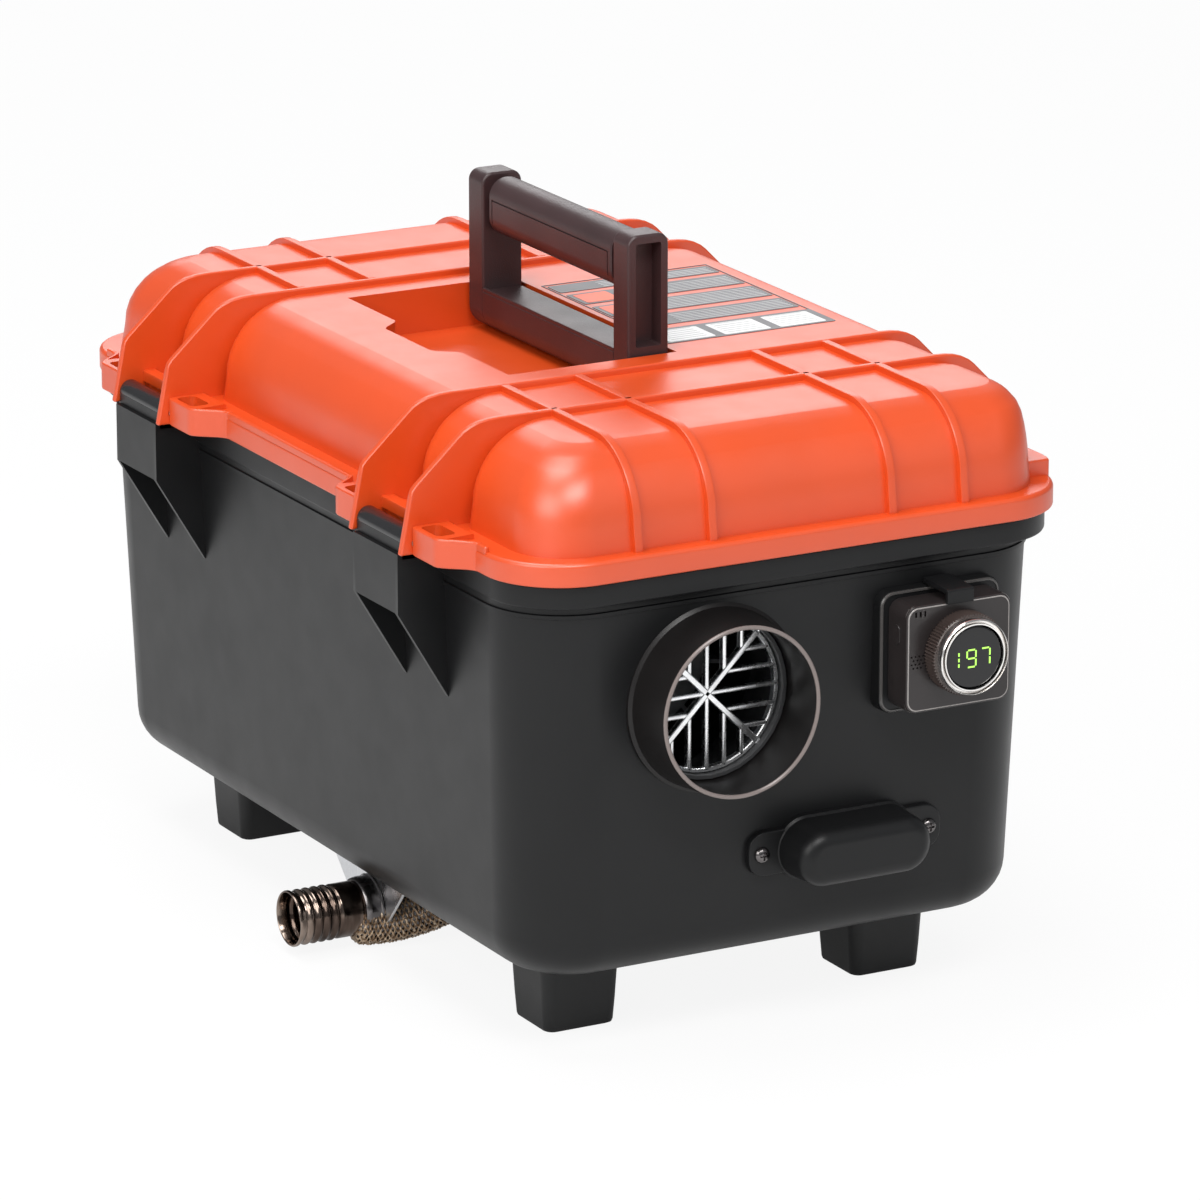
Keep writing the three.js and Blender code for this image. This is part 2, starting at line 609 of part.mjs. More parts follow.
// ---------------------------------------------------------------- front face
function makeOutlet() {
  const lip = frontY - outlet.reach + 1;
  const bore = outlet.radius - outlet.wall;
  const inside = frontY + wallInset(outlet.z - outlet.flange) + wall + gap;
  const profile = [
    [outlet.lip - outlet.lipWall, lip], [outlet.lip - outlet.lipWall + 0.6, lip - 1],
    [outlet.lip - 0.6, lip - 1], [outlet.lip, lip], [outlet.radius, frontY], [outlet.radius, inside],
    [outlet.flange, inside], [outlet.flange, inside + outlet.flangeThick],
    [bore, inside + outlet.flangeThick], [bore, frontY], [outlet.lip - outlet.lipWall, lip],
  ];
  addPart('outlet_ring', 'black', turnedY(profile, outlet.x, outlet.z, 32));

  const front = inside;
  const rear = front + guard.depth;
  const reach = bore - gap - duct.wall - gap;
  const halfBar = guard.bar / 2;
  const slab = (u0, u1, v0, v1) => box(outlet.x + u0, outlet.x + u1, front, rear,
    outlet.z + v0, outlet.z + v1);
  const cross = [45, 135].map((angle) => {
    const bar = new THREE.BoxGeometry(2 * reach, guard.depth, guard.cross);
    bar.rotateY(THREE.MathUtils.degToRad(angle));
    return toSolid(bar.translate(outlet.x, (front + rear) / 2, outlet.z));
  });
  const offsets = Array.from({ length: 2 * guard.pairs + 1 }, (_, i) => (i - guard.pairs) * guard.pitch);
  const spokes = offsets.flatMap((offset) => {
    const near = Math.abs(offset);
    return [
      slab(offset - halfBar, offset + halfBar, near, reach),
      slab(offset - halfBar, offset + halfBar, -reach, -near),
      slab(near, reach, offset - halfBar, offset + halfBar),
      slab(-reach, -near, offset - halfBar, offset + halfBar),
    ];
  });
  const disc = turnedY(rodProfile(reach, front, rear), outlet.x, outlet.z, 32);
  const rim = turnedY(tubeProfile(reach, reach - guard.rim, front, rear), outlet.x, outlet.z, 32);
  addPart('outlet_grille', 'steel', join(join(...cross, ...spokes).intersect(disc), rim));
}

function makeController(envelope) {
  const dockOutline = roundedOutline(dock.x, dock.z, dock.width / 2, dock.height / 2, dock.corner);
  addPart('controller_dock', 'black', prismY(dockOutline, dockFront, frontY + 12).subtract(envelope));

  const bodyOutline = (inset) => roundedOutline(control.x, dock.z, control.width / 2 - inset,
    control.height / 2 - inset, control.corner - inset);
  const bevel = 1.2;
  const face = join(
    prismY(bodyOutline(0), controlFront + bevel, controlBack),
    prismY(bodyOutline(bevel), controlFront, controlBack),
  );
  addPart('controller_body', 'black', face);

  const knobBack = controlFront - gap;
  const knobFront = knobBack - knob.depth;
  const ringProfile = [
    [knob.bore, knobBack], [knob.base, knobBack], [knob.base, knobBack - knob.baseDepth],
    [knob.radius, knobBack - knob.baseDepth], [knob.radius, knobFront + 1],
    [knob.radius - 1, knobFront], [knob.bore, knobFront], [knob.bore, knobBack],
  ];
  addPart('controller_knob', 'steel', turnedY(ringProfile, knob.x, knob.z, 30));
  addPart('display', 'glossBlack', turnedY(
    rodProfile(knob.bore - gap, knobFront + 1.2, knobBack), knob.x, knob.z, 24));

  const top = dock.z + dock.height / 2 + gap;
  const lipBottom = dock.z + control.height / 2 - clip.lip;
  const lipBack = controlFront - gap;
  const lipFront = lipBack - clip.over;
  const outline = [
    [frontY - gap - 1, top], [frontY - gap - 1, top + clip.root], [lipFront, top + clip.thick],
    [lipFront, lipBottom], [lipBack, lipBottom], [lipBack, top],
  ];
  addPart('controller_clip', 'black',
    prismX(outline, clip.x - clip.width / 2, clip.x + clip.width / 2));
}

function podScrewPlaces() {
  const out = pod.width / 2 + ear.screw;
  return [pod.x - out, pod.x + out];
}

function makePod(envelope) {
  const level = (y, inset) => {
    const outline = roundedOutline(pod.x, pod.z, pod.width / 2 - inset, pod.height / 2 - inset,
      pod.height / 2 - inset, 5);
    return { outline, z: y };
  };
  const wallY = frontY + wallInset(pod.z);
  const front = wallY - pod.depth;
  const curve = [0, 1, 2, 3].map((i) => {
    const angle = (Math.PI / 2) * (i / 3);
    return level(front + pod.round * (1 - Math.sin(angle)), pod.round * (1 - Math.cos(angle)));
  }).reverse();
  const upright = (solid) => solid.transform([1, 0, 0, 0, 0, 0, 1, 0, 0, 1, 0, 0, 0, 0, 0, 1]);
  const cover = upright(loft([...curve, level(wallY + 6, -1)]));
  const flangeFront = wallY - pod.flange;
  const flangeSolid = join(
    prismY(roundedOutline(pod.x, pod.z, pod.width / 2 + ear.out, ear.halfZ, ear.corner, 4),
      flangeFront, wallY + 6),
    prismY(roundedOutline(pod.x, pod.z, pod.width / 2 + 3, pod.height / 2 + 3, pod.height / 2 + 3, 5),
      flangeFront, wallY + 6),
  );
  const hollow = upright(loft([level(front + wall, wall), level(wallY + 8, wall)]));
  const holes = podScrewPlaces().map(
    (x) => turnedY(rodProfile(screw.radius + gap, front, wallY + 8), x, pod.z, 10));
  addPart('service_cover', 'black',
    join(cover, flangeSolid).subtract(join(hollow, ...holes)).subtract(envelope));
  podScrewPlaces().forEach((x, i) => {
    const seat = flangeFront - gap;
    const head = turnedY([[0, seat - screw.headHeight], [screw.head * 0.6, seat - screw.headHeight],
      [screw.head, seat - screw.headHeight * 0.4], [screw.head, seat], [screw.radius, seat],
      [screw.radius, seat + screw.length], [0, seat + screw.length]], x, pod.z, 12);
    const slots = [box(x - 2, x + 2, seat - 3, seat - 1, pod.z - 0.5, pod.z + 0.5),
      box(x - 0.5, x + 0.5, seat - 3, seat - 1, pod.z - 2, pod.z + 2)];
    addPart(`cover_screw_${['left', 'right'][i]}`, 'steel', head.subtract(join(...slots)));
  });
}

// ---------------------------------------------------------------- exhaust and intake
function makeExhaust() {
  const ends = { mouth: stub.mouth, back: stub.mouth + stub.length };
  const ridges = Array.from({ length: ridge.count }, (_, i) => {
    const start = ends.mouth + ridge.lip + i * ridge.pitch;
    const valley = stub.radius - ridge.groove;
    return [[stub.radius, start], [valley, start + ridge.pitch * 0.3],
      [valley, start + ridge.pitch * 0.6], [stub.radius, start + ridge.pitch * 0.9]];
  }).flat();
  const smoothStart = ends.mouth + ridge.lip + ridge.count * ridge.pitch + 1;
  const profile = [[stub.bore, ends.mouth], [stub.radius, ends.mouth], ...ridges,
    [stub.smooth, smoothStart], [stub.smooth, ends.back], [stub.bore, ends.back],
    [stub.bore, ends.mouth]];
  addPart('exhaust_stub', 'nickel', turnedX(profile, stub.y, stub.z, 16));

  const clampBack = ends.back - clamp.back - hanger.thick - gap;
  addPart('exhaust_clamp', 'steel', turnedX(
    tubeProfile(clamp.radius, stub.smooth + gap, clampBack - clamp.width, clampBack),
    stub.y, stub.z, 24));

  const top = tub.bottom - gap;
  const plateX = clampBack + gap;
  const plate = prismX([
    [hanger.centreY - hanger.halfTop, top], [hanger.centreY + hanger.halfTop, top],
    [stub.y + hanger.halfLow, stub.z - hanger.low], [stub.y + hanger.halfLow / 2, stub.z - hanger.halfLow + 1],
    [stub.y - hanger.halfLow / 2, stub.z - hanger.halfLow + 1], [stub.y - hanger.halfLow, stub.z - hanger.low],
  ], plateX, plateX + hanger.thick);
  const tab = box(plateX, plateX + hanger.tab, hanger.centreY - hanger.halfTop,
    hanger.centreY + hanger.halfTop, top - hanger.thick, top);
  const hole = turnedX(rodProfile(stub.smooth + gap, plateX - 5, plateX + hanger.tab + 5),
    stub.y, stub.z, 24);
  addPart('exhaust_hanger', 'steel', join(plate, tab).subtract(hole));

  const riseTop = outlet.z - exchanger.radius - exchanger.fin - gap;
  const route = new THREE.CatmullRomCurve3([
    [ends.back + gap, stub.y, stub.z], [ends.back + wrap.lead, stub.y, stub.z],
    ...bend.map(([along, across, up]) => [ends.back + along, stub.y + across, stub.z + up]),
    [wrap.riseX, wrap.riseY, stub.z + riseFrom],
    [wrap.riseX, wrap.riseY, stub.z + riseFrom + wrap.straight], [wrap.riseX, wrap.riseY, riseTop],
  ].map((place) => new THREE.Vector3(...place)), false, 'centripetal');
  addPart('exhaust_pipe', 'braid', pipeAlong(route, wrap.radius, wrap.bore, 18, 10));
}

function pipeAlong(route, radius, bore, steps, sides) {
  const section = (r) => Array.from({ length: sides }, (_, i) => {
    const angle = (2 * Math.PI * i) / sides;
    return new THREE.Vector2(r * Math.cos(angle), r * Math.sin(angle));
  });
  const shape = new THREE.Shape(section(radius));
  if (bore > 0) shape.holes.push(new THREE.Path(section(bore)));
  return toSolid(new THREE.ExtrudeGeometry(shape, { steps, extrudePath: route, bevelEnabled: false }));
}

function makeIntake() {
  const filterTop = intake.clearance + intake.filterHeight;
  const pipeTop = outlet.z - heater.halfZ - gap;
  addPart('intake_pipe', 'black', turnedZ(
    tubeProfile(intake.radius, intake.bore, filterTop + gap, pipeTop), intake.x, intake.y, 16));
  const profile = [[0, intake.clearance], [intake.filter, intake.clearance],
    [intake.filter, filterTop], [intake.bore, filterTop], [intake.bore, intake.clearance + 3],
    [0, intake.clearance + 3]];
  addPart('intake_filter', 'black', turnedZ(profile, intake.x, intake.y, 20));
}

// ---------------------------------------------------------------- rear face
function makeRear(envelope) {
  const rearY = tub.halfY;
  const bore = inlet.radius - inlet.wall;
  const inside = rearY - wallInset(outlet.z - inlet.radius) - wall - 12;
  const ringSolid = turnedY([[bore, inside], [inlet.radius, inside], [inlet.radius, rearY],
    [inlet.radius, rearY + inlet.reach], [bore, rearY + inlet.reach], [bore, inside]],
  outlet.x, outlet.z, 32);
  const flangeSolid = turnedY(
    tubeProfile(inlet.flange, inlet.radius - 0.5, rearY - 8, rearY + inlet.flangeThick),
    outlet.x, outlet.z, 32).subtract(envelope);
  const count = Math.floor((2 * bore) / inlet.pitch / 2) * 2 + 1;
  const first = -((count - 1) / 2) * inlet.pitch;
  const y1 = rearY + inlet.reach - 1;
  const bars = Array.from({ length: count }, (_, i) => {
    const z = outlet.z + first + i * inlet.pitch;
    return box(outlet.x - bore - 1, outlet.x + bore + 1, y1 - 3, y1, z - inlet.bar / 2, z + inlet.bar / 2);
  });
  const post = box(outlet.x - inlet.bar / 2, outlet.x + inlet.bar / 2, y1 - 3, y1,
    outlet.z - bore - 1, outlet.z + bore + 1);
  const disc = turnedY(rodProfile(bore - gap, y1 - 4, y1 + 1), outlet.x, outlet.z, 32);
  const rim = turnedY(tubeProfile(bore - gap, bore - guard.rim, y1 - 3, y1), outlet.x, outlet.z, 32);
  addPart('inlet_ring', 'black', join(ringSolid, flangeSolid));
  addPart('inlet_grille', 'black', join(join(...bars, post).intersect(disc), rim));

  const plate = prismY(roundedOutline(socket.x, socket.z, socket.plate, socket.plate, 4),
    rearY - 10, rearY + socket.plateThick - wallInset(socket.z)).subtract(envelope);
  const barrel = turnedY(rodProfile(socket.radius, rearY - 16, rearY + socket.reach - wallInset(socket.z)),
    socket.x, socket.z, 20);
  const bore2 = turnedY(rodProfile(socket.bore, rearY - 4, rearY + socket.reach + 5), socket.x, socket.z, 16);
  addPart('power_socket', 'black', join(plate, barrel).subtract(bore2));
}

// ---------------------------------------------------------------- heater
function makeCasing() {
  const { halfX, halfZ, corner, front, rear } = heater;
  const outer = prismY(roundedOutline(outlet.x, outlet.z, halfX, halfZ, corner, 5), front, rear);
  const inner = prismY(roundedOutline(outlet.x, outlet.z, halfX - heater.wall, halfZ - heater.wall,
    corner - heater.wall, 5), front - 1, rear + 1);
  const tube = outer.subtract(inner);
  const far = 2 * halfX;
  const above = box(outlet.x - far, outlet.x + far, front - 2, rear + 2, outlet.z - gap / 2, outlet.z + far);
  const below = box(outlet.x - far, outlet.x + far, front - 2, rear + 2, outlet.z - far, outlet.z + gap / 2);
  const ports = join(
    turnedZ(rodProfile(wrap.radius + 1, outlet.z - halfZ - 5, outlet.z), wrap.riseX, wrap.riseY, 16),
    turnedZ(rodProfile(intake.bore, outlet.z - halfZ - 5, outlet.z), intake.x, intake.y, 16),
  );
  addPart('heater_lower_casing', 'casing', tube.subtract(above).subtract(ports));
  addPart('heater_upper_casing', 'casing', tube.subtract(below));
}

function makeDucts() {
  const thick = duct.wall;
  const outletNose = outlet.radius - outlet.wall - gap;
  const inletNose = inlet.radius - inlet.wall - gap;
  const cone = (seatY, mouthY, nose, way) => {
    const seatIn = seatY - way * duct.seatLength;
    const tip = mouthY + way * duct.nose;
    return [[duct.seat - thick, seatIn], [duct.seat, seatIn], [duct.seat, seatY], [nose, mouthY],
      [nose, tip], [nose - thick, tip], [nose - thick, mouthY], [duct.seat - thick, seatY],
      [duct.seat - thick, seatIn]];
  };
  const ringBack = frontY + wallInset(outlet.z - outlet.flange) + wall + gap + outlet.flangeThick;
  addPart('outlet_duct', 'casing',
    turnedY(cone(heater.front, ringBack, outletNose, -1), outlet.x, outlet.z, 32));
  const guardFront = tub.halfY - wallInset(outlet.z - inlet.radius) - wall - 12;
  addPart('inlet_duct', 'casing',
    turnedY(cone(heater.rear, guardFront, inletNose, 1), outlet.x, outlet.z, 22));
}

function makeHeatExchanger() {
  const { radius, bore, front, rear, fins, finThick: thick } = exchanger;
  const core = turnedY([[0, front], [radius, front], [radius, rear], [bore, rear], [bore, front + 6],
    [0, front + 6]], outlet.x, outlet.z, 32);
  const blades = Array.from({ length: fins }, (_, i) => {
    const blade = new THREE.BoxGeometry(thick, rear - front, exchanger.fin + 3);
    blade.translate(0, 0, radius + exchanger.fin / 2 - 1.5);
    blade.rotateY((2 * Math.PI * i) / fins);
    return toSolid(blade.translate(outlet.x, (front + rear) / 2, outlet.z));
  });
  const floor = outlet.z - heater.halfZ + heater.wall + gap;
  const feet = [front + exchanger.foot, rear - exchanger.foot].map((y) => box(
    outlet.x - exchanger.foot, outlet.x + exchanger.foot, y - exchanger.footHalf,
    y + exchanger.footHalf, floor, outlet.z - radius + 2));
  addPart('heat_exchanger', 'aluminium', join(core, ...blades, ...feet));

  const seat = rear + gap;
  const head = seat + burner.flange;
  const tube = turnedY([[burner.bore, head - burner.length], [burner.radius, head - burner.length],
    [burner.radius, seat], [radius, seat], [radius, head], [0, head], [0, seat], [burner.bore, seat],
    [burner.bore, head - burner.length]], outlet.x, outlet.z, 22);
  const plugX = outlet.x + glowPlug.out;
  const plugZ = outlet.z + glowPlug.out;
  const plugRear = head + glowPlug.behind;
  const plugFront = plugRear - glowPlug.length;
  const hole = turnedY(rodProfile(glowPlug.radius + gap, plugFront, plugRear), plugX, plugZ, 12);
  addPart('burner_tube', 'steel', tube.subtract(hole));
  addPart('glow_plug', 'brass', turnedY(rodProfile(glowPlug.radius, plugFront, plugRear), plugX, plugZ, 12));
}

function makeFans() {
  const plateBack = motorPlate.front + motorPlate.thick;
  const plateDisc = turnedY(tubeProfile(duct.seat, shaftRadius + 3, motorPlate.front, plateBack),
    outlet.x, outlet.z, 32);
  const windows = Array.from({ length: motorPlate.windows }, (_, i) => {
    const half = Math.PI / motorPlate.windows - 0.12;
    const outline = [-half, 0, half].map((a) => [duct.seat - 4, a])
      .concat([half, -half].map((a) => [motorPlate.boss, a]))
      .map(([r, a]) => {
        const angle = a + (2 * Math.PI * i) / motorPlate.windows;
        return [outlet.x + r * Math.cos(angle), outlet.z + r * Math.sin(angle)];
      });
    return prismY(outline, motorPlate.front - 1, plateBack + 1);
  });
  addPart('motor_plate', 'steel', plateDisc.subtract(join(...windows)));

  const motorFront = plateBack + gap;
  const motorRear = motorFront + motor.length;
  addPart('fan_motor', 'steel', turnedY(
    tubeProfile(motor.radius, shaftRadius + play, motorFront, motorRear), outlet.x, outlet.z, 24));
  addPart('control_board', 'glossBlack', box(outlet.x - brain.width / 2, outlet.x + brain.width / 2,
    motorFront, motorRear, outlet.z + motor.radius + gap, outlet.z + motor.radius + gap + brain.height));

  const blowerRear = motorPlate.front - blower.behind + 4;
  const blowerFront = blowerRear - blower.length;
  const vanes = Array.from({ length: blower.vanes }, (_, i) => {
    const vane = new THREE.BoxGeometry(1.6, blower.length, blower.radius - blower.hub + 1);
    vane.translate(0, 0, (blower.radius + blower.hub - 1) / 2).rotateY((2 * Math.PI * i) / blower.vanes);
    return toSolid(vane.translate(outlet.x, (blowerFront + blowerRear) / 2, outlet.z));
  });
  const backDisc = turnedY([[shaftRadius + gap, blowerFront], [blower.hub, blowerFront],
    [blower.hub, blowerRear - 2], [blower.radius, blowerRear - 2], [blower.radius, blowerRear],
    [shaftRadius + gap, blowerRear], [shaftRadius + gap, blowerFront]], outlet.x, outlet.z, 24);
  const shaftHole = turnedY(rodProfile(shaftRadius + gap, blowerFront - 1, blowerRear + 1), outlet.x, outlet.z, 24);
  addPart('combustion_fan', 'aluminium', join(backDisc, ...vanes).subtract(shaftHole));

  const fanFront = motorRear + fan.ahead;
  const fanRear = fanFront + fan.length;
  const blades = Array.from({ length: fan.blades }, (_, i) => {
    const blade = new THREE.BoxGeometry(fan.length / Math.cos(fan.twist) * 0.9, 1.8, fan.radius - fan.hub + 2);
    blade.rotateZ(fan.twist).translate(0, 0, (fan.radius + fan.hub - 2) / 2);
    blade.rotateY((2 * Math.PI * i) / fan.blades);
    return toSolid(blade.translate(outlet.x, (fanFront + fanRear) / 2, outlet.z));
  });
  const hub = turnedY(tubeProfile(fan.hub, shaftRadius + gap, fanFront, fanRear), outlet.x, outlet.z, 20);
  addPart('main_fan', 'casing', join(hub, ...blades.map((blade) => blade.subtract(
    turnedY(rodProfile(shaftRadius + 2, fanFront - 9, fanRear + 9), outlet.x, outlet.z, 16)))));
  addPart('fan_shaft', 'steel', turnedY(
    rodProfile(shaftRadius, blowerFront - 2, fanRear + 3), outlet.x, outlet.z, 12));
}

function makeCradle() {
  const top = outlet.z - heater.halfZ - gap;
  const low = floorTop + gap;
  const { halfX, thick } = cradle;
  const outline = [
    [-halfX - cradle.foot, low], [-halfX + thick, low], [-halfX + thick, top - thick],
    [halfX - thick, top - thick], [halfX - thick, low], [halfX + cradle.foot, low],
    [halfX + cradle.foot, low + thick], [halfX, low + thick], [halfX, top], [-halfX, top],
    [-halfX, low + thick], [-halfX - cradle.foot, low + thick],
  ].map(([x, z]) => [outlet.x + x, z]);
  const ports = join(
    turnedZ(rodProfile(wrap.radius + 1, top - 10, top + 5), wrap.riseX, wrap.riseY, 16),
    turnedZ(rodProfile(intake.radius + gap, top - 10, top + 5), intake.x, intake.y, 16),
  );
  addPart('heater_cradle', 'steel', prismY(outline, cradle.front, cradle.rear).subtract(ports));
}

// ---------------------------------------------------------------- fuel
function makeTank() {
  const low = floorTop + gap;
  const top = low + tank.height;
  const centreX = (tank.left + tank.right) / 2;
  const halfX = (tank.right - tank.left) / 2;
  const middle = (low + top) / 2;
  const shell = (inset, y0, y1) => prismY(roundedOutline(centreX, middle, halfX - inset,
    tank.height / 2 - inset, tank.corner - inset, 4), y0, y1);
  const neckTop = top + filler.height;
  const neck = turnedZ(rodProfile(filler.radius, top - 6, neckTop), filler.x, filler.y);
  const bore = turnedZ(rodProfile(filler.bore, top - 8, neckTop + 2), filler.x, filler.y);
  const hollow = shell(tank.wall, tank.front + tank.wall, tank.rear - tank.wall);
  addPart('fuel_tank', 'tankWhite',
    join(shell(0, tank.front, tank.rear), neck).subtract(join(hollow, bore)));

  const skirtInner = filler.radius + play;
  const crown = neckTop + gap;
  const profile = [[0, crown], [skirtInner, crown], [skirtInner, crown - cap.skirt],
    [cap.radius, crown - cap.skirt], [cap.radius, crown + cap.top - 1],
    [cap.radius - 1.5, crown + cap.top], [0, crown + cap.top]];
  const grips = Array.from({ length: cap.grips }, (_, i) => {
    const nub = new THREE.BoxGeometry(cap.gripProud * 2, 3, cap.skirt);
    nub.translate(cap.radius, 0, crown - cap.skirt / 2).rotateZ((2 * Math.PI * i) / cap.grips);
    return toSolid(nub.translate(filler.x, filler.y, 0));
  });
  addPart('fuel_cap', 'black', join(turnedZ(profile, filler.x, filler.y), ...grips));
}

function makeFuelSupply() {
  const rear = pump.front + pump.length;
  addPart('fuel_pump', 'aluminium', turnedY([
    [0, pump.front - pump.noseLength], [pump.nose, pump.front - pump.noseLength],
    [pump.nose, pump.front], [pump.radius, pump.front], [pump.radius, rear], [pump.nose, rear],
    [pump.nose, rear + pump.noseLength], [0, rear + pump.noseLength],
  ], pump.x, pump.z, 20));

  const inner = pump.radius + gap;
  const outer = inner + pumpClip.thick;
  const middle = pump.front + pump.length / 2;
  const [y0, y1] = [middle - pumpClip.width / 2, middle + pumpClip.width / 2];
  const low = floorTop + gap;
  const band1 = turnedY(tubeProfile(outer, inner, y0, y1), pump.x, pump.z, 24);
  const stem = box(pump.x - 4, pump.x + 4, y0, y1, low, pump.z - inner - 1);
  const base = box(pump.x - pumpClip.foot, pump.x + pumpClip.foot, y0, y1, low, low + pumpClip.thick);
  addPart('pump_clip', 'rubber', join(band1, stem, base));

  const filterFront = rear + pump.noseLength + gap;
  const filterRear = filterFront + strainer.length;
  addPart('fuel_filter', 'tankWhite', turnedY([[0, filterFront], [strainer.radius - 3, filterFront],
    [strainer.radius, filterFront + 4], [strainer.radius, filterRear - 4],
    [strainer.radius - 3, filterRear], [0, filterRear]], pump.x, pump.z, 16));

  const hose = (places) => pipeAlong(new THREE.CatmullRomCurve3(
    places.map((place) => new THREE.Vector3(...place)), false, 'centripetal'), fuelHose.radius, 0, 12, 8);
  const start = pump.front - pump.noseLength - gap;
  addPart('fuel_hose_heater', 'rubber', hose([
    [pump.x, start, pump.z], [pump.x, start - fuelHose.lead, pump.z],
    [pump.x + heaterLine[0][0], start + heaterLine[0][1], pump.z + heaterLine[0][2]],
    [pump.x + heaterLine[1][0], start + heaterLine[1][1], outlet.z - heater.halfZ - gap],
  ]));
  addPart('fuel_hose_tank', 'rubber', hose([
    [pump.x + strainer.radius + gap, filterRear + tankLine[0][1], pump.z],
    ...tankLine.slice(0, 3).map(([x, y]) => [pump.x + x, filterRear + y, fuelHose.tankZ]),
    [pump.x + tankLine[3][0], tank.rear + gap, fuelHose.tankZ],
  ]));
}

// ---------------------------------------------------------------- assembly
const envelope = tubEnvelope(gap);
makeTub();
makeFeet();
makeLid();
addPart('lid_seal', 'rubber', sealGroove(0));
makeHingePins();
makeHandle();
makeOutlet();
makeController(envelope);
makePod(envelope);
makeExhaust();
makeIntake();
makeRear(envelope);
makeCasing();
makeDucts();
makeHeatExchanger();
makeFans();
makeCradle();
makeTank();
makeFuelSupply();

const reach = new THREE.Box3().setFromObject(object);
const middle = reach.getCenter(new THREE.Vector3());
object.position.set(-middle.x, -middle.y, -reach.min.z);

export default object;
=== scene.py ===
# Looks for the portable diesel air heater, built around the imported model.
# Shapes are written in the tub's own millimetres (x = y = 0 in the middle of the tub, z = 0 at the
# ground); place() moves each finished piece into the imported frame.
import json
import math

import bpy
import bmesh
from mathutils import Matrix, Vector


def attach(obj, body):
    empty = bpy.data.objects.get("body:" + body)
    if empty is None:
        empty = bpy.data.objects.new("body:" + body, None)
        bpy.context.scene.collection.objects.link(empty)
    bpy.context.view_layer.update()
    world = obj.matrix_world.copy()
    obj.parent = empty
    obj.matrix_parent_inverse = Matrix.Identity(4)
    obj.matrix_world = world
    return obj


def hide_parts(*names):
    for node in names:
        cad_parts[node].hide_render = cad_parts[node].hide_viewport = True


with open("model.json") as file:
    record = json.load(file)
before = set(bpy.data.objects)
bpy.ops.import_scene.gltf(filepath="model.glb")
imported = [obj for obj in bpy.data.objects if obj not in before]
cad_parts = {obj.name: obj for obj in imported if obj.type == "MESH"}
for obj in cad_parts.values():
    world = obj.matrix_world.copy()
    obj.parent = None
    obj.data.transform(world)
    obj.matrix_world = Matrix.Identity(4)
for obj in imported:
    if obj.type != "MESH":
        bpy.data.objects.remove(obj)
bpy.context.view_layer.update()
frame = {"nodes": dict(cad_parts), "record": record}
scene = bpy.context.scene
SHIFT = Vector((-2.1, 11.05, 0.0))
RIM_X = 2.0


# ---------------------------------------------------------------- materials
def socket(node, *names):
    for name in names:
        if name in node.inputs:
            return node.inputs[name]
    raise KeyError(names)


